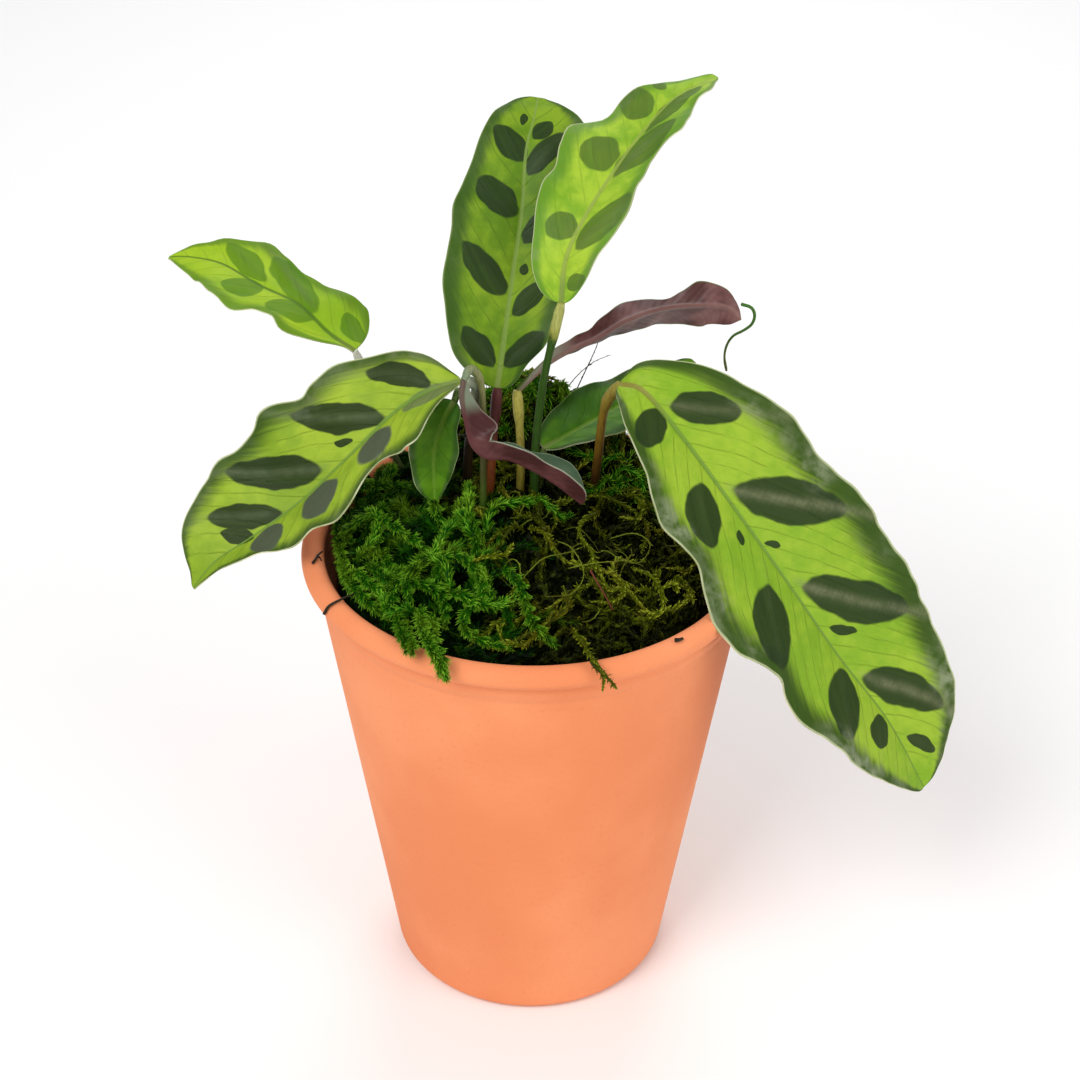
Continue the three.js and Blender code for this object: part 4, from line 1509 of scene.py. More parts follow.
    def wander(self, growth: Growth, kind: MossKind, draw: np.random.Generator) -> list[Shoot]:
        """Lays the shoots that grow by chance: they wind over the mat and rise in the middle.

        Args:
            growth: how they grow.
            kind: the moss whose ground they keep to, unless they have a patch of their own.
            draw: the source of random numbers.

        Returns:
            The shoots.
        """
        made: list[Shoot] = []
        while len(made) < growth.count:
            middle_x, middle_y, radius = growth.patch or (0.0, 0.0, self.radius)
            angle, reach = draw.uniform(0, TURN), radius * math.sqrt(draw.uniform(0, self.SPREAD))
            x, y = middle_x + reach * math.cos(angle), middle_y + reach * math.sin(angle)
            outside = math.hypot(x, y) > self.radius - self.CLEAR
            if not outside and (growth.patch or self.is_green(x, y) == kind.bright):
                made.append(self._wind(growth, x, y, draw))
        return made

    def _wind(self, growth: Growth, x: float, y: float, draw: np.random.Generator) -> Shoot:
        """Lays one shoot, which winds and turns back from the edge.

        Args:
            growth: how it grows.
            x: where it starts, from left to right.
            y: and from front to back.
            draw: the source of random numbers.

        Returns:
            The shoot.
        """
        heading, bend = draw.uniform(0, TURN), draw.uniform(-1, 1) * growth.bend
        length, high = draw.uniform(*growth.length), draw.uniform(0, 1)
        lift = growth.lift * (self.FLAT_ARCH + (1 - self.FLAT_ARCH) * high)
        points: list[Point] = []

        def ahead() -> tuple[float, float]:
            """The next point in the present heading."""
            return x + math.cos(heading) * length / self.STEPS, y + math.sin(heading) * length / self.STEPS

        for share in np.linspace(0, 1, self.STEPS + 1):
            ground = float(self.height(np.array(x), np.array(y)))
            arch = lift * math.sin(math.pi * min(share * self.ARCH_PACE, 1))
            root = self.ROOT * (1 - share) ** self.ROOT_POWER
            z = ground + between(growth.above, high) + arch - root
            points.append((x, y, min(z, self.ceiling(x, y))))
            heading += (bend + draw.normal(0, growth.bend * self.UNEVEN_BEND)) * length / self.STEPS
            if math.hypot(*ahead()) > self.radius - self.CLEAR:
                heading = math.atan2(y, x) + math.pi * (self.TURN_BACK if bend > 0 else -self.TURN_BACK)
            x, y = ahead()
        return Shoot(tuple(points), between(growth.tone, high))

    def build(self) -> None:
        """Makes and dresses both kinds of moss."""
        tree = RopeTree()
        draw = np.random.default_rng(self.SEED)
        for kind in (GREEN_MOSS, OLIVE_MOSS):
            material = kind.skin.material()
            mat = self.mat(kind)
            mat.data.materials.append(material)
            write_attribute(mat, "tone", np.full(len(mat.data.vertices), self.MAT_SHADE_TONE))
            finish_piece(mat, kind.slot, f"moss_{kind.word}")
            leaflets = leaflet_patterns(kind)
            rows = [(f"moss_{kind.word}_shoots_{number}", growth, kind.laid if number == 1 else (), material)
                    for number, growth in enumerate(kind.beds)]
            if not kind.bright:
                rows.append(("moss_threads", self.threads, THREADS, STRING_SKIN.material()))
            for name, growth, laid, skin in rows:
                shoots = self.wander(growth, kind, draw) + list(laid)
                values = {
                    "Stem": growth.stem * MM, "Gap": growth.gap * MM, "Leaflet": growth.leaflet,
                    "Seed": self.LEAFLET_SEED, "Leaflets": leaflets, "Material": skin,
                }
                finish_piece(tree.grow(shoot_lines(shoots), name, values), kind.slot)
            for pattern in list(leaflets.objects):
                bpy.data.objects.remove(pattern)
            bpy.data.collections.remove(leaflets)


def between(limits: tuple[float, float], share: float) -> float:
    """The value at a share of the way from the first limit to the second."""
    return limits[0] + share * (limits[1] - limits[0])


def shoot_lines(shoots: Sequence[Shoot], step: float = 1.2) -> Thing:
    """One object that holds the lines of many shoots, each with its brightness for painted shade on its
    points.

    Args:
        shoots: the shoots.
        step: the distance between the lines' points.

    Returns:
        The object.
    """
    places: list[Array] = []
    edges: list[tuple[int, int]] = []
    shade_tones: list[float] = []
    for shoot in shoots:
        route = Route(shoot.points)
        count = max(4, round(route.length / step))
        edges += line_edges(len(shade_tones), count)
        shade_tones += [shoot.tone] * count
        places.append(route.at(np.linspace(0, 1, count)))
    thing = mesh_object("lines", np.concatenate(places), edges=edges)
    write_attribute(thing, "tone", np.array(shade_tones))
    return thing


def leaflet_patterns(kind: MossKind) -> Collection:
    """Pointed moss leaflets, a millimetre long, one for each way that they stand off their stem.

    Args:
        kind: the moss they are for.

    Returns:
        A collection that holds the leaflets.
    """
    patterns = bpy.data.collections.new(f"{kind.word}_leaflets")
    ahead, across = np.array([0.0, 0.0, 1.0]), np.array([0.0, kind.leaflet_half, 0.0])
    for number, splay in enumerate(kind.splays):
        angle = math.radians(splay)
        out = np.array([math.sin(angle), 0.0, math.cos(angle)])
        belly = 0.42 * out + 0.05 * ahead
        tip = 0.93 * out + 0.28 * ahead
        points = np.array([0.0 * out, belly + across, belly - across, belly + 0.1 * ahead, tip])
        faces = [(0, 2, 1), (0, 1, 3), (0, 3, 2), (4, 1, 2), (4, 3, 1), (4, 2, 3)]
        thing = mesh_object(f"{kind.word}_leaflet_{number}", points, faces)
        write_attribute(thing, "tip", np.array([0.0, 0.45, 0.45, 0.45, 1.0]))
        bpy.context.scene.collection.objects.unlink(thing)
        patterns.objects.link(thing)
    return patterns


# ---- leaves


@dataclass
class Blade:
    """A leaf's blade: a thin waved sheet round a midrib.

    Attributes:
        spine: the points its midrib runs through.
        face: the way its upper face looks, evenly spaced along it.
        left: the half width of its left half, measured against an ellipse, from base to tip.
        right: the same for its right half.
        rise: how far each half rises out of the flat, in degrees, left and right.
        waves: the number of waves of its margins, their height and where they start.
        spots: its dark blotches.
        sheen_places: the places on it that have a painted pale grey sheen.
        upper: the finish of its upper face.
        under: the finish of its underside.
        rim: the finish of its edge.
        slot: the record's slot it takes.
        lit_side: the half whose folds take the whole painted highlight, 1 for the right one and -1 for the
            left one.
    """

    spine: list[Point]
    face: list[Point]
    left: list[float]
    right: list[float]
    rise: tuple[list[float], list[float]]
    waves: tuple[int, float, float]
    upper: LeafFace
    spots: list[Spot] = field(default_factory=list)
    sheen_places: list[Spot] = field(default_factory=list)
    under: LeafBack = LeafBack()
    rim: LeafRim = LeafRim()
    slot: Slot = Slot.LEAF_LIME
    lit_side: int = 1

    END = 0.35  # half the width of its two ends
    CELL = 0.85
    CROWD = (0.55, 1.6)  # the steps across are closer at the midrib
    THICK = 0.5
    THINNING = 0.35  # the share of its thickness that is lost at the margins
    VEIN_SLOPE = 1.07
    VEIN_BEND = 0.018
    RUFFLE = (0.28, 8.5)  # the height and the length of the small waves of its margins
    RUFFLE_START = (0.1, 0.55)  # where they start, in the left half and the right
    PLEATS = ((0.03, 3.2, 0.0), (0.14, 9.5, 0.8))  # the height, distance and start of its pleats
    PLEATED = (0.04, 0.3)  # where they begin, and over how much of the half width they grow
    PLEAT_LOSS = 0.45  # the share of their height that they lose at the margins
    FOLD = 0.55
    FOLD_WIDTH = 1.7
    FOLDED_FROM = 9  # a shorter blotch has no fold
    FOLDED_FULLY = 26  # a longer one has a whole fold
    PALE_BEHIND = 0.15  # how strong the painted highlight on the folds of the unlit half is
    GROOVE = (0.3, 0.8)  # the depth and half width of the midrib's groove above
    RIDGE = (0.65, 0.75)  # and of its ridge below
    RIB_LOSS = 0.8  # the share of both that is lost at the tip
    SHARP = 60  # degrees, as on the pot

    def sheet(self, route: Route, u: Array, v: Array) -> tuple[Array, Array]:
        """Where the middle of the sheet lies.

        Args:
            route: the midrib.
            u: the shares along the blade.
            v: the shares across it, from -1 at the left margin to 1 at the right.

        Returns:
            The points, and how far across the blade each one lies.
        """
        centre, forward = route.at(u), route.heading(u)
        right = unit(np.cross(forward, unit(along(self.face, u))))
        up = np.cross(right, forward)
        is_left, share = v < 0, np.abs(v)
        ellipse = 2 * np.sqrt(np.clip(u * (1 - u), 0, None))
        half = np.where(is_left, along(self.left, u), along(self.right, u))
        reach = share * (half * ellipse + self.END)
        rise = np.radians(np.where(is_left, along(self.rise[0], u), along(self.rise[1], u)))
        count, swell, phase = self.waves
        turn = count * u + phase + np.where(is_left, 0.0, 0.5)
        lift = swell * share**2 * ellipse * np.sin(TURN * turn)
        height, length = self.RUFFLE
        ruffle = np.sin(TURN * (u * route.length / length + np.where(is_left, *self.RUFFLE_START)))
        lift = lift + height * share**4 * ellipse * ruffle
        across = right * (np.sign(v) * reach * np.cos(rise))[:, None]
        return centre + across + up * (reach * np.sin(rise) + lift)[:, None], np.sign(v) * reach

    def folds(self, across: Array, run: Array) -> Array:
        """Measures how near points lie to the crests of the folds that run through long blotches.

        Args:
            across: how far across the blade each point lies.
            run: and how far along it.

        Returns:
            1 on a crest, and less beside it.
        """
        crest = np.zeros_like(run)
        for spot in self.spots:
            if spot.long < self.FOLDED_FROM:
                continue
            angle = math.radians(spot.turn)
            off = (run - spot.along) * math.cos(angle) - (across - spot.across) * math.sin(angle)
            same = np.clip(across * np.sign(spot.across) / 3, 0, 1)
            whole = min(spot.long / self.FOLDED_FULLY, 1)
            crest = crest + same * np.exp(-((off / self.FOLD_WIDTH) ** 2)) * whole
        return crest

    def build(self, name: str, node: str) -> None:
        """Makes and dresses the blade.

        Args:
            name: the piece's name.
            node: the CAD node it stands for.
        """
        route = Route(self.spine)
        rows = max(24, round(route.length / self.CELL))
        columns = 2 * max(8, round((max(self.left) + max(self.right)) / 2 / self.CELL)) + 1
        u = 0.5 - 0.5 * np.cos(math.pi * np.arange(rows) / (rows - 1))
        t = np.linspace(-1, 1, columns)
        even, power = self.CROWD
        v = even * t + (1 - even) * np.sign(t) * np.abs(t) ** power
        grid_u, grid_v = (part.ravel() for part in np.meshgrid(u, v, indexing="ij"))
        middle, across = self.sheet(route, grid_u, grid_v)
        grid = middle.reshape(rows, columns, 3)
        normal = unit(np.cross(np.gradient(grid, axis=1), np.gradient(grid, axis=0))).reshape(-1, 3)
        run, away, share = grid_u * route.length, np.abs(across), np.abs(grid_v)
        vein = run - self.VEIN_SLOPE * away - self.VEIN_BEND * away**2
        fold = self.folds(across, run)
        over, below = self._reliefs(grid_u, share, away, vein, fold)
        points = np.concatenate([middle + normal * over[:, None], middle - normal * below[:, None]])
        thing = mesh_object(name, points, self._faces(rows, columns))
        # The painted highlight on the crests of the folds: whole on the lit half, faint on the other.
        pale = fold**2 * np.where(across * self.lit_side > 0, 1.0, self.PALE_BEHIND)
        carried = {
            "flat_mm": np.stack([across, run, np.zeros_like(run)], -1),
            "margin_share": share,
            "vein_mm": vein,
            "fold": pale,
        }
        for label, values in carried.items():
            write_attribute(thing, label, np.concatenate([values, values]))
        self._dress(thing, rows, columns, route.length)
        finish_piece(thing, self.slot, node)

    def _reliefs(self, u: Array, share: Array, away: Array, vein: Array,
                 fold: Array) -> tuple[Array, Array]:
        """How far the upper side and the underside stand off the sheet's middle.

        Args:
            u: the shares along the blade.
            share: the shares across it, 0 on the midrib and 1 at a margin.
            away: the distances from the midrib.
            vein: the same along the side veins, counted from the foot.
            fold: how near the crest of a fold each point lies.

        Returns:
            The distances upwards and downwards.
        """
        begin, growing = self.PLEATED
        window = np.clip((share - begin) / growing, 0, 1) * (1 - self.PLEAT_LOSS * share)
        pleat = sum(height * np.sin(TURN * vein / gap + start) for height, gap, start in self.PLEATS)
        pleat = pleat + self.FOLD * fold
        rib = 1 - self.RIB_LOSS * u
        groove = -self.GROOVE[0] * rib * np.exp(-((away / self.GROOVE[1]) ** 2))
        ridge = self.RIDGE[0] * rib * np.exp(-((away / self.RIDGE[1]) ** 2))
        half = self.THICK / 2 * (1 - self.THINNING * share)
        return half + pleat * window + groove, half - pleat * window + ridge

    @staticmethod
    def _faces(rows: int, columns: int) -> list[tuple[int, ...]]:
        """Numbers the corners of every face.

        Args:
            rows: the grid's rows along the blade.
            columns: its columns across.

        Returns:
            The faces of the upper side, the underside and the rim, in that order.
        """
        top = np.arange(rows * columns).reshape(rows, columns).tolist()
        low = np.arange(rows * columns, 2 * rows * columns).reshape(rows, columns).tolist()
        cells = [(i, j) for i in range(rows - 1) for j in range(columns - 1)]
        faces = [(top[i][j], top[i][j + 1], top[i + 1][j + 1], top[i + 1][j]) for i, j in cells]
        faces += [(low[i][j], low[i + 1][j], low[i + 1][j + 1], low[i][j + 1]) for i, j in cells]
        for i in range(rows - 1):
            faces.append((top[i][0], top[i + 1][0], low[i + 1][0], low[i][0]))
            faces.append((top[i][-1], low[i][-1], low[i + 1][-1], top[i + 1][-1]))
        for j in range(columns - 1):
            faces.append((top[0][j], low[0][j], low[0][j + 1], top[0][j + 1]))
            faces.append((top[-1][j], top[-1][j + 1], low[-1][j + 1], low[-1][j]))
        return faces

    def _dress(self, thing: Thing, rows: int, columns: int, length: float) -> None:
        """Gives the upper side, the underside and the rim their finishes.

        Args:
            thing: the blade.
            rows: the grid's rows along it.
            columns: and its columns across.
            length: its length.
        """
        upper = self.upper.material(self.spots, self.sheen_places, length)
        for material in (upper, self.under.material(length), self.rim.material()):
            thing.data.materials.append(material)
        cells = (rows - 1) * (columns - 1)
        numbers = np.full(len(thing.data.polygons), 2)
        numbers[:cells] = 0
        numbers[cells:2 * cells] = 1
        thing.data.polygons.foreach_set("material_index", numbers)
        smooth(thing)
        thing.data.set_sharp_from_angle(angle=math.radians(self.SHARP))


@dataclass
class Stalk:
    """A leaf's stalk, from the soil to the foot of its blade.

    Attributes:
        points: the points it runs through.
        radius: its radius at the foot.
        skin: its finish.
        slot: the record's slot it takes.
        taper: the share of its radius that it loses.
        knee: how much thicker its knee is, as a share of its radius.
    """

    points: list[Point]
    radius: float
    skin: StalkSkin
    slot: Slot = Slot.STALK_GREEN
    taper: float = 0.25
    knee: float = 0.3

    FIT = 0.95  # drawn a little slimmer than its solid
    FINE = 60
    SIDES = 16
    STEP = 0.8

    def build(self, tree: StalkTree, name: str, *nodes: str) -> None:
        """Makes and dresses the stalk.

        Args:
            tree: the tree that draws it.
            name: the piece's name.
            nodes: the CAD nodes it stands for.
        """
        points = Route(self.points).at(np.linspace(0, 1, self.FINE))
        carrier = mesh_object("carrier", points, edges=line_edges(0, self.FINE))
        values = {
            "Radius": self.radius * self.FIT * MM, "Taper": self.taper, "Knee": self.knee,
            "Sides": self.SIDES, "Step": self.STEP * MM, "Material": self.skin.material(),
        }
        finish_piece(tree.grow(carrier, name, values), self.slot, *nodes)


@dataclass
class Leaf:
    """A leaf: its blade, its stalk and the word that its CAD nodes carry."""

    name: str
    blade: Blade
    stalk: Stalk

    def build(self, tree: StalkTree) -> None:
        """Makes both pieces."""
        self.blade.build(f"blade_{self.name}", f"leaf_{self.name}")
        self.stalk.build(tree, f"petiole_{self.name}", f"stalk_{self.name}")


# ---- the leaves of this plant

PALE_LIME = LeafFace(
    "leaf_lime", lime=srgb(172, 200, 54), shade=srgb(142, 176, 44), blotch=srgb(28, 46, 14),
    band=(0.64, 0.96), bloom_and_sheen_share=0.3,
)
BROAD_LIME = LeafFace(
    "leaf_lime_broad", lime=srgb(170, 203, 56), shade=srgb(141, 186, 42), margin=srgb(52, 80, 20),
    root=srgb(156, 140, 72), bloom_and_sheen=srgb(164, 174, 138), crease_highlight=srgb(134, 138, 102), band=(0.57, 0.88),
    bloom_and_sheen_share=0.75, crease_highlight_share=0.7,
)
TALL_LIME = LeafFace(
    "leaf_lime_tall", lime=srgb(136, 170, 36), shade=srgb(96, 136, 24), blotch=srgb(34, 54, 22),
    margin=srgb(60, 92, 28), midrib=srgb(132, 160, 74), edge=srgb(120, 140, 80), through=0.16,
    bloom_and_sheen_share=0.15,
)
FRESH_LIME = LeafFace(
    "leaf_lime_fresh", lime=srgb(188, 222, 64), shade=srgb(132, 184, 42), blotch=srgb(82, 112, 42),
    margin=srgb(110, 160, 44), midrib=srgb(164, 186, 84), blotch_share=0.85, through=0.26, bloom_and_sheen_share=0.3,
)
BACKLIT_LIME = LeafFace(
    "leaf_lime_backlit", lime=srgb(208, 250, 56), shade=srgb(182, 234, 46), blotch=srgb(94, 156, 20),
    margin=srgb(134, 184, 44), midrib=srgb(104, 150, 44), edge=srgb(150, 190, 80), blotch_share=0.75,
    through=0.5, bloom_and_sheen_share=0.1, vein_share=0.3,
)
PLAIN_GREEN = LeafFace(
    "leaf_green", lime=srgb(100, 152, 20), shade=srgb(62, 116, 10), blotch=srgb(40, 80, 16),
    margin=srgb(48, 90, 12), midrib=srgb(112, 152, 44), edge=srgb(150, 176, 110), through=0.2,
    bloom_and_sheen_share=0.3,
)
GREY_GREEN = LeafFace(
    "leaf_grey_green", lime=srgb(92, 112, 84), shade=srgb(64, 88, 62), margin=srgb(60, 84, 58),
    midrib=srgb(96, 116, 84), edge=srgb(136, 146, 122), through=0.1, bloom_and_sheen_share=0.3, vein_share=0.1,
)
# The purple back leaf's underside: its pale grey base and its pink patches are painted sheen.
SILVER_SHEEN_BACK = LeafBack(body=srgb(84, 42, 38), sheen=srgb(152, 106, 102), rib=srgb(146, 106, 98), base_share=0.3)

LEAVES = [
    Leaf("tall_back", Blade(
        spine=[(-9, 11, 172), (-7, 16, 186), (-5, 22, 200), (-3, 29, 213), (-2, 38, 225), (0, 45, 231),
               (1, 51, 234)],
        face=[(0, -1, 0.2), (0, -1, 0.25), (0, -0.9, 0.4), (0, -0.7, 0.7)],
        left=[17, 20, 19, 18.2, 18.3, 17.3, 16.8, 17.3, 16, 14.8, 14.8, 16, 16],
        right=[13, 11, 13.8, 13, 13.6, 14, 14.6, 15.3, 16.5, 18.2, 20.5, 22, 13],
        rise=([10, 8], [10, 8]),
        waves=(4, 0.9, 0),
        upper=TALL_LIME,
        spots=[
            Spot(-6.5, 10, 13, 6.5, 135), Spot(-7.5, 29.5, 17, 7, 138), Spot(-6.5, 48, 13.5, 8, 142),
            Spot(-4, 61.5, 11, 6.5, 148), Spot(-2.5, 68.5, 3, 2.3, 100), Spot(5.5, 11, 14, 6, 50),
            Spot(5, 24, 12, 5, 54), Spot(2.7, 31, 2.8, 2.2, 76), Spot(5, 42, 12, 5.5, 55),
            Spot(5, 60.5, 15, 6, 59), Spot(3, 66.5, 6.5, 4.5, 61),
        ],
    ), Stalk(
        [(-12, 3, 111), (-11.5, 3.5, 130), (-10.5, 6, 152), (-9, 11, 172)], 1.4,
        StalkSkin("stalk_tall", ((0, 50, 24, 8), (0.5, 96, 46, 14), (0.7, 122, 60, 20),
                                 (0.84, 70, 30, 30), (1.0, 90, 44, 42))),
        Slot.STALK_MAROON,
    )),
    Leaf("upright_right", Blade(
        spine=[(7, 8, 198), (8, 11, 208), (12, 16, 216), (19, 25, 224), (27, 36, 231), (36, 45, 237),
               (46, 51, 240)],
        face=[(-0.2, -0.8, 0.5), (-0.3, -0.5, 0.8), (-0.35, -0.3, 0.9), (-0.3, -0.2, 0.9)],
        left=[13.5, 12.5, 12.5, 13.3, 14.4, 14.5, 16, 16.5, 11.5, 12, 9.5, 6, 6.5],
        right=[9, 10.5, 11, 11, 11.7, 11, 9.2, 9, 13.5, 13, 11, 13, 9.5],
        rise=([13, 13], [13, 13]),
        waves=(4, 1, 0.1),
        upper=FRESH_LIME,
        spots=[
            Spot(-4, 18, 8, 7.5, 15), Spot(-6, 40, 10.5, 11, 15), Spot(-6.5, 56.5, 9.5, 8.5, 20),
            Spot(-6, 64, 4, 2.6, 5), Spot(3.7, 6, 6, 3.5, 47), Spot(6, 22.5, 18.5, 7, 63),
            Spot(4.5, 45, 22, 8, 70), Spot(2.5, 60, 20, 5.5, 85),
        ],
    ), Stalk(
        [(2, 4, 111), (1.5, 5, 130), (0.5, 6.5, 150), (2.5, 8, 174), (7, 8, 198)], 1.3,
        StalkSkin("stalk_upright", ((0, 22, 34, 8), (0.5, 46, 78, 16), (0.87, 50, 82, 18),
                                    (0.91, 150, 154, 66), (1.0, 178, 180, 104))),
    )),
    Leaf("far_left", Blade(
        spine=[(-46, 23, 176), (-53, 27, 179), (-61, 33, 184), (-72, 40, 186), (-82, 46, 189),
               (-91, 50, 189), (-97, 52, 188)],
        face=[(0.4, -0.2, 0.88), (0.35, -0.25, 0.88), (0.2, -0.3, 0.9)],
        left=[4, 4, 10.5, 14.5, 12, 11.5, 14, 14, 13.5, 12, 10, 8, 4],
        right=[27, 24, 19.5, 16, 12, 10.5, 11.5, 14, 15, 11.5, 8.5, 7.5, 3],
        rise=([6, 6], [6, 6]),
        waves=(3, 0.8, 0.3),
        upper=BACKLIT_LIME,
        spots=[
            Spot(-4.5, 35, 11.5, 8.5, 138), Spot(-4, 19.5, 14, 9, 120), Spot(4.5, 40, 16, 7, 72),
            Spot(6, 26, 24, 8, 64), Spot(6, 5.5, 12, 6, 60),
        ],
    ), Stalk(
        [(-25, 17, 111), (-28, 18, 128), (-36, 21, 144), (-42, 23, 158), (-44, 23, 170), (-46, 23, 176)],
        1.1,
        StalkSkin("stalk_far", ((0, 52, 66, 26), (0.6, 88, 104, 52), (0.85, 196, 200, 180),
                                (1.0, 208, 210, 192))),
    )),
    Leaf("low_left", Blade(
        spine=[(-18, 4, 178), (-26, 4, 175), (-35, 3, 169), (-47, -1, 158), (-59, -4, 147), (-71, -8, 139),
               (-81, -11, 133), (-87, -13, 126)],
        face=[(-0.2, -0.4, 0.9), (-0.35, -0.45, 0.75), (-0.35, -0.45, 0.75)],
        left=[9, 12, 19.5, 16, 10, 14, 15, 13, 13.5, 9, 7.5, 4, 4],
        right=[7, 17.5, 20, 23, 22, 22, 25, 24.5, 23, 25, 25, 20.5, 5],
        rise=([16, 16], [16, 16]),
        waves=(5, 1, 0.2),
        upper=PALE_LIME,
        spots=[
            Spot(7.5, 13.5, 17, 5.5, 43), Spot(10, 31.5, 27, 8, 46), Spot(4, 34, 5, 2.3, 47),
            Spot(10.5, 54, 27, 9, 54), Spot(6, 67.5, 20, 7, 59), Spot(2.5, 71.5, 9.5, 5, 48),
            Spot(-4.5, 28, 11.5, 7.5, 100), Spot(-5, 47.5, 13, 9, 100), Spot(-4.3, 65, 10, 7.3, 100),
        ],
        sheen_places=[Spot(-1.5, 9, 16, 5.5, 92), Spot(-4.5, 28, 12.5, 8.5, 100), Spot(-5, 47.5, 13.5, 9.5, 100),
                  Spot(-4.3, 65, 10.5, 7.8, 100)],
    ), Stalk(
        [(-17, 9, 111), (-17, 9, 130), (-16.5, 8, 155), (-14.5, 6, 171), (-14.2, 4.5, 176.5), (-18, 4, 178)],
        1.5,
        StalkSkin("stalk_low", ((0, 28, 20, 10), (0.7, 44, 30, 14), (0.84, 96, 96, 72),
                                (1.0, 158, 168, 142))),
        Slot.STALK_MAROON,
    )),
    Leaf("long_right", Blade(
        spine=[(22, 8, 175), (28, 4, 175), (38, -2, 165), (52, -10, 148), (66, -17, 130), (79, -22, 112),
               (93, -26, 94), (104, -29, 74)],
        face=[(0.1, -0.6, 0.8), (0.5, -0.6, 0.6), (0.5, -0.6, 0.6)],
        left=[14, 27, 29.5, 30, 29, 29.5, 31, 31.5, 31.5, 32.5, 31.5, 33, 28],
        right=[20, 20.5, 22, 25, 23, 28, 29, 23.5, 26.5, 25, 24.5, 21, 14],
        rise=([12, 12], [12, 12]),
        waves=(5, 1.2, 0),
        upper=BROAD_LIME,
        lit_side=-1,
        spots=[
            Spot(-9.5, 20.5, 19, 8.5, 138), Spot(-13.5, 52.5, 32, 12, 134), Spot(-2.7, 58.5, 4.3, 1.8, 132),
            Spot(-13.5, 85.5, 34, 11.5, 128), Spot(-5.5, 88.5, 8.7, 2.6, 132), Spot(-9, 113, 26, 9.5, 124),
            Spot(-5.5, 128, 10, 4, 122), Spot(6, 15.5, 12.5, 8.5, 20), Spot(10, 40.5, 17.5, 10.5, 53),
            Spot(4.7, 51.3, 3.7, 2.1, 61), Spot(14, 72.5, 22, 12.5, 48), Spot(9.5, 101.5, 19, 11.5, 40),
            Spot(5, 115.5, 9, 7.5, 45),
        ],
    ), Stalk(
        [(15, 13, 111), (15.5, 13, 130), (17, 11.5, 150), (18.5, 10, 167), (22, 8, 175)], 1.5,
        StalkSkin("stalk_long", ((0, 30, 12, 8), (0.5, 48, 24, 10), (0.64, 104, 76, 18),
                                 (0.84, 140, 112, 34), (1.0, 152, 140, 60))),
        Slot.STALK_MAROON,
    )),
    Leaf("purple_back", Blade(
        spine=[(-4, 15, 169), (3, 20, 173.5), (9, 25, 175), (16.5, 31, 175.5), (24.5, 37, 177.5),
               (34, 43, 178), (44, 48, 176.5), (52, 52, 174), (56.5, 54.5, 169)],
        face=[(0.2, 0.3, 0.9), (-0.4, 0.9, 0.2), (-0.3, 0.8, -0.2), (-0.3, 0.8, -0.2), (-0.3, 0.8, -0.2)],
        left=[2, 2.5, 3.5, 4, 4, 5, 7.5, 9.2, 10.5, 11.5, 13, 15, 16],
        right=[2, 2, 2.2, 2.4, 2.8, 4, 5.2, 5, 3.2, 6, 11, 11, 8],
        rise=([20, 35, 50, 50, 30], [35, 45, 55, 60, 40]),
        waves=(3, 0.3, 0),
        upper=PLAIN_GREEN,
        under=SILVER_SHEEN_BACK,
        rim=LeafRim("leaf_rim_green", srgb(140, 146, 96), srgb(96, 120, 48)),
        slot=Slot.LEAF_MAROON,
    ), Stalk(
        [(-4, 7, 111), (-3.5, 7, 130), (-3, 10, 152), (-4, 15, 169)], 1.4,
        StalkSkin("stalk_purple", ((0, 50, 38, 10), (0.45, 92, 80, 22), (0.7, 160, 148, 56),
                                   (1.0, 196, 188, 92))),
    )),
    Leaf("curled_centre", Blade(
        spine=[(-17, -2, 181.5), (-17.5, -4, 178), (-16.5, -6, 172.5), (-15, -8, 167), (-11.5, -9.5, 164),
               (-6, -11, 164.5), (0.5, -12.5, 162), (6.5, -14, 158.5), (12.5, -15.5, 154)],
        face=[(0.6, 0.8, 0.1), (0.6, 0.8, 0.1), (0.5, 0.4, 0.7), (0.3, 0.1, 0.95), (0.3, 0.1, 0.95),
              (0.3, 0.1, 0.95)],
        left=[4, 6, 8, 8, 6.5, 5, 4, 3.8, 4.2, 6, 8.5, 8.5, 8],
        right=[3.8, 4.2, 5.2, 8, 6, 4.8, 4.5, 4.8, 5.4, 6, 7, 9, 12],
        rise=([50, 50], [40, 40, 58, 62, 62, 62]),
        waves=(3, 0.2, 0),
        upper=GREY_GREEN,
        under=LeafBack("leaf_back_dark", srgb(66, 30, 30), srgb(106, 62, 60), srgb(112, 122, 100),
                       srgb(86, 44, 44), srgb(132, 112, 104), base_share=0.2),
        rim=LeafRim("leaf_rim_dull", srgb(152, 160, 136), srgb(118, 118, 98)),
        slot=Slot.LEAF_MAROON,
    ), Stalk(
        [(-13, -1.5, 111), (-13, -1.5, 130), (-12.5, 0, 152), (-12.5, 2.5, 170), (-13.2, 2.8, 179),
         (-15.5, 0.5, 183.5), (-17, -2, 181.5)], 1.1,
        StalkSkin("stalk_curled", ((0, 30, 52, 12), (0.3, 58, 108, 20), (0.6, 70, 60, 30),
                                   (0.9, 150, 150, 96), (1.0, 120, 134, 104))),
        Slot.STALK_MAROON,
    )),
    Leaf("small_right", Blade(
        spine=[(3, 16, 151), (10, 22, 152), (19, 30, 153), (28, 38, 154), (37, 44, 157), (44, 49, 159)],
        face=[(-0.1, -0.3, 0.9), (-0.1, -0.3, 0.9)],
        left=[11, 10.5, 10.5, 10.5, 9.5, 8.5, 8, 6, 5],
        right=[6, 7, 9.5, 9.5, 8.5, 7, 6, 6, 5],
        rise=([12, 12], [12, 12]),
        waves=(3, 0.5, 0),
        upper=PLAIN_GREEN,
        slot=Slot.LEAF_GREEN,
    ), Stalk(
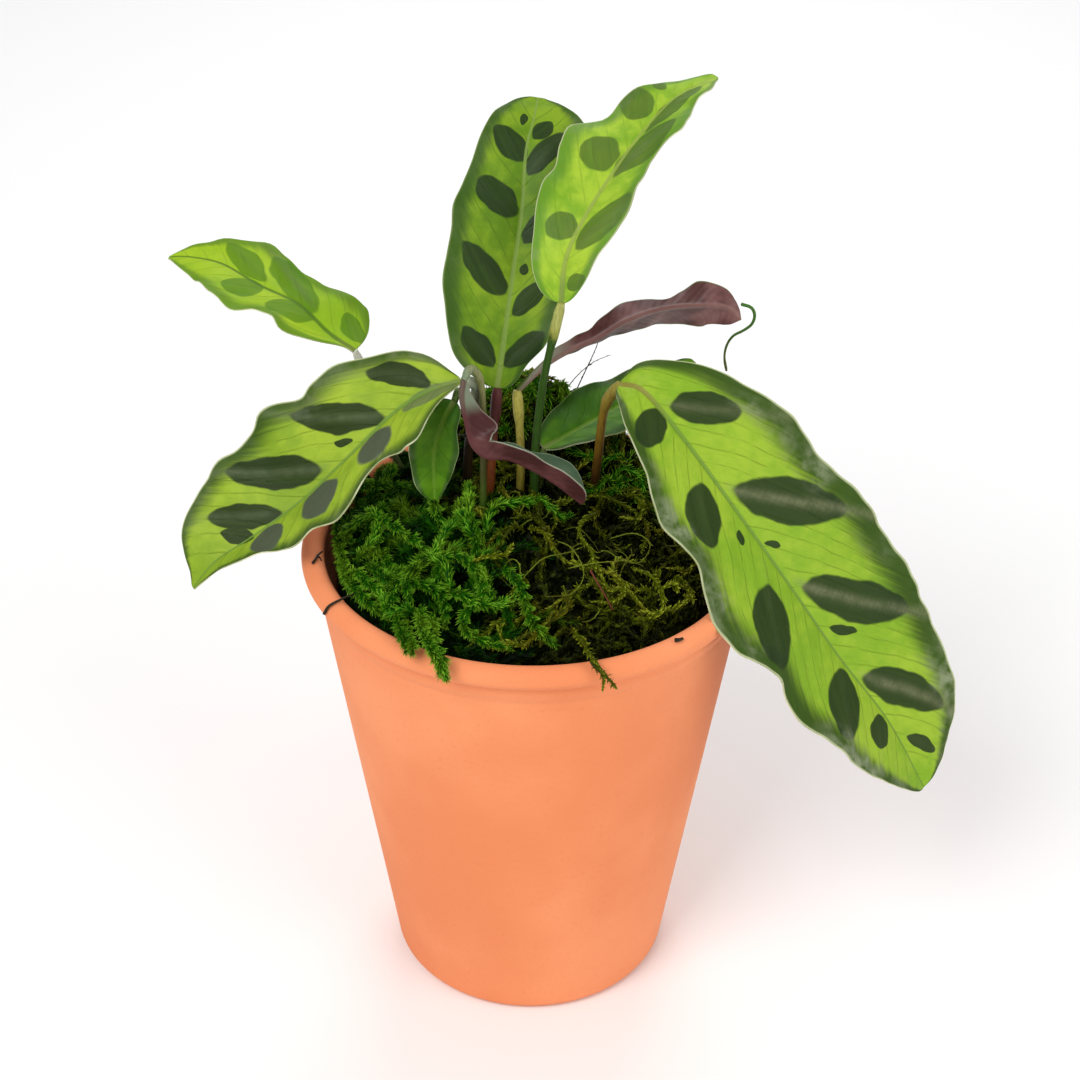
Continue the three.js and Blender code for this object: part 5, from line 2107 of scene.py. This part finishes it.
        [(4, 11, 111), (3.5, 11, 125), (2.5, 12.5, 142), (3, 16, 151)], 1.0,
        StalkSkin("stalk_small_right", ((0, 40, 50, 20), (1.0, 84, 104, 44))),
    )),
    Leaf("small_left", Blade(
        spine=[(-20, 6, 171), (-23, 3, 166), (-25, 0, 159), (-25, -3, 147)],
        face=[(0, -0.9, 0.4), (0, -0.9, 0.4)],
        left=[6, 5, 4.5, 5.5, 6, 5.5, 5, 4, 3],
        right=[8, 7, 6.5, 6.5, 6.5, 6, 6, 6, 5],
        rise=([8, 8], [20, 20]),
        waves=(2, 0.3, 0),
        upper=PLAIN_GREEN,
        slot=Slot.LEAF_GREEN,
    ), Stalk(
        [(-23, 9, 111), (-23, 9, 130), (-22.5, 10, 152), (-20.5, 10, 166), (-19, 8.5, 172.5), (-20, 6, 171)],
        0.9,
        StalkSkin("stalk_small_left", ((0, 40, 52, 20), (1.0, 96, 122, 54))),
    )),
]


# ---- threads and crumbs


@dataclass
class Twig:
    """A dry thread, twig or crumb whose points are listed.

    Attributes:
        name: the piece's name.
        points: the points it runs through.
        radius: its radius at the start.
        skin: its finish.
        nodes: the CAD nodes it stands for.
    """

    name: str
    points: list[Point]
    radius: float
    skin: StalkSkin
    nodes: tuple[str, ...] = ()

    def build(self, tree: StalkTree) -> None:
        """Makes and dresses it as a stalk of its own."""
        stalk = Stalk(self.points, self.radius, self.skin, taper=0.4, knee=0.2)
        stalk.build(tree, self.name, *self.nodes)


DARK_TWIG = StalkSkin("dark_twig", ((0, 22, 18, 6), (0.6, 44, 36, 14), (1.0, 20, 16, 6)))
TWIGS = [
    Twig("tip_thread", [
        (56.8, 57, 172.3), (59.6, 57.5, 171), (60.6, 57, 168.8), (59.8, 56.5, 166.3), (57.4, 56, 164.6),
        (55, 56, 163.1), (53.4, 56, 160.3), (52.9, 56, 156.5), (53.7, 56, 152.1),
    ], 0.5, StalkSkin("dry_thread", ((0, 62, 116, 30), (0.5, 70, 104, 34), (1.0, 84, 84, 34))),
         ("tip_tendril",)),
    Twig("hook_thread", [
        (-24.7, 4, 157.2), (-24.5, 4, 158.6), (-24, 4, 160.3), (-22.4, 4.2, 161.2), (-20.2, 5, 161.3),
        (-16.5, 7, 160.2),
    ], 0.35, DARK_TWIG),
    Twig("rim_twig", [
        (-51.7, -31.6, 131.4), (-50.8, -31.7, 133.3), (-49.8, -31.6, 134.3), (-48.2, -30.8, 134.8),
        (-46.2, -29, 134.8), (-43.5, -27.5, 135),
    ], 0.42, DARK_TWIG),
    Twig("rim_chip", [
        (-55.9, -13.8, 134.6), (-55.2, -12, 134.7), (-54.9, -10.4, 134.6), (-54, -8, 134.2),
    ], 0.38, DARK_TWIG),
    Twig("rim_fork", [(-55.0, -10.9, 134.7), (-54.3, -11.3, 134.7), (-53.8, -12.4, 134.4)], 0.3, DARK_TWIG),
    Twig("rim_crumb", [(34.9, -46.4, 134.7), (35.8, -46.2, 134.6), (36.8, -45.4, 134.5)], 0.6, DARK_TWIG),
    Twig("red_stick", [(14.5, -27.5, 142.2), (16.2, -30.5, 140.6), (18.2, -34, 138.8), (20, -37.5, 137.2)],
         0.28, StalkSkin("red_stick", ((0, 104, 48, 26), (1.0, 84, 34, 22)))),
]


# ---- the studio


@dataclass(frozen=True)
class Lamp:
    """A soft square lamp.

    Attributes:
        name: its name.
        place: where it hangs, in metres.
        aim: what it points at, in metres.
        size: the length of its side, in metres.
        power: its power in watts.
    """

    name: str
    place: Point
    aim: Point
    size: float
    power: float

    def hang(self) -> None:
        """Puts the lamp in the scene."""
        data = bpy.data.lights.new(self.name, "AREA")
        data.size, data.energy = self.size, self.power
        thing = placed(self.name, data)
        thing.location = self.place
        thing.rotation_euler = (Vector(self.aim) - Vector(self.place)).to_track_quat("-Z", "Y").to_euler()


@dataclass
class Studio:
    """A plain pale floor, soft light and the camera.

    Attributes:
        eye: where the camera stands.
        tilt: how far it looks down, in degrees.
        roll: how far it leans, in degrees.
        yaw: how far it looks aside, in degrees.
        focal_share: the focal length as a share of the picture's width.
        sensor: the width of the camera's sensor.
        reach: how far the floor reaches each way.
        floor_grey: how pale the floor is.
        sky: how strong the light from all round is.
        lamps: the lamps.
    """

    eye: Point = (0.0, -477.3, 451.1)
    tilt: float = 33.7
    roll: float = 0.35
    yaw: float = 0.02
    focal_share: float = 2200 / 1080
    sensor: float = 36.0
    reach: float = 3000.0
    floor_grey: float = 0.94
    sky: float = 0.5
    lamps: tuple[Lamp, ...] = (
        Lamp("key", place=(-0.6, -0.8, 1.2), aim=(0, 0, 0.12), size=0.7, power=12.0),
        Lamp("fill", place=(0.9, -0.7, 0.7), aim=(0, 0, 0.1), size=0.9, power=5.0),
        Lamp("back", place=(0.1, 0.9, 0.9), aim=(0, 0, 0.18), size=0.7, power=4.5),
    )

    def camera(self) -> None:
        """Sets the camera up."""
        data = bpy.data.cameras.new("camera")
        data.sensor_width = self.sensor
        data.lens = self.focal_share * self.sensor
        data.clip_start = 0.01
        thing = placed("camera", data)
        thing.location = Vector(self.eye) * MM
        thing.rotation_mode = "XYZ"
        thing.rotation_euler = [math.radians(angle) for angle in (90 - self.tilt, -self.roll, -self.yaw)]
        bpy.context.scene.camera = thing

    def floor(self) -> None:
        """Lays the floor."""
        far = self.reach
        corners = [(-far, -far, 0), (far, -far, 0), (far, far, 0), (-far, far, 0)]
        thing = mesh_object("floor", corners, [(0, 1, 2, 3)])
        s = Surface("floor")
        s.paint((self.floor_grey,) * 3)
        s.gloss(roughness=0.9)
        thing.data.materials.append(s.material)

    def light(self) -> None:
        """Hangs the lamps and lights the air."""
        for lamp in self.lamps:
            lamp.hang()
        world = bpy.data.worlds.new("studio")
        world.use_nodes = True
        back = world.node_tree.nodes["Background"]
        back.inputs["Color"].default_value = (1, 1, 1, 1)
        back.inputs["Strength"].default_value = self.sky
        bpy.context.scene.world = world

    def build(self) -> None:
        """Sets up the whole studio."""
        self.camera()
        self.floor()
        self.light()
        bpy.context.scene.view_settings.view_transform = "Standard"


def dress_soil() -> None:
    """Gives the CAD soil its finish."""
    thing = frame["nodes"]["soil"]
    thing.data.materials.clear()
    thing.data.materials.append(Earth().material())
    LOG.info("%s: dressed as it is", thing.name)


def main() -> None:
    """Builds everything in order."""
    logging.basicConfig(level=logging.INFO, format="%(name)s: %(message)s")
    Studio().build()
    TerracottaPot().build()
    dress_soil()
    MossBed().build()
    tree = StalkTree()
    for leaf in LEAVES:
        leaf.build(tree)
    for twig in TWIGS:
        twig.build(tree)


if __name__ == "__main__":
    main()
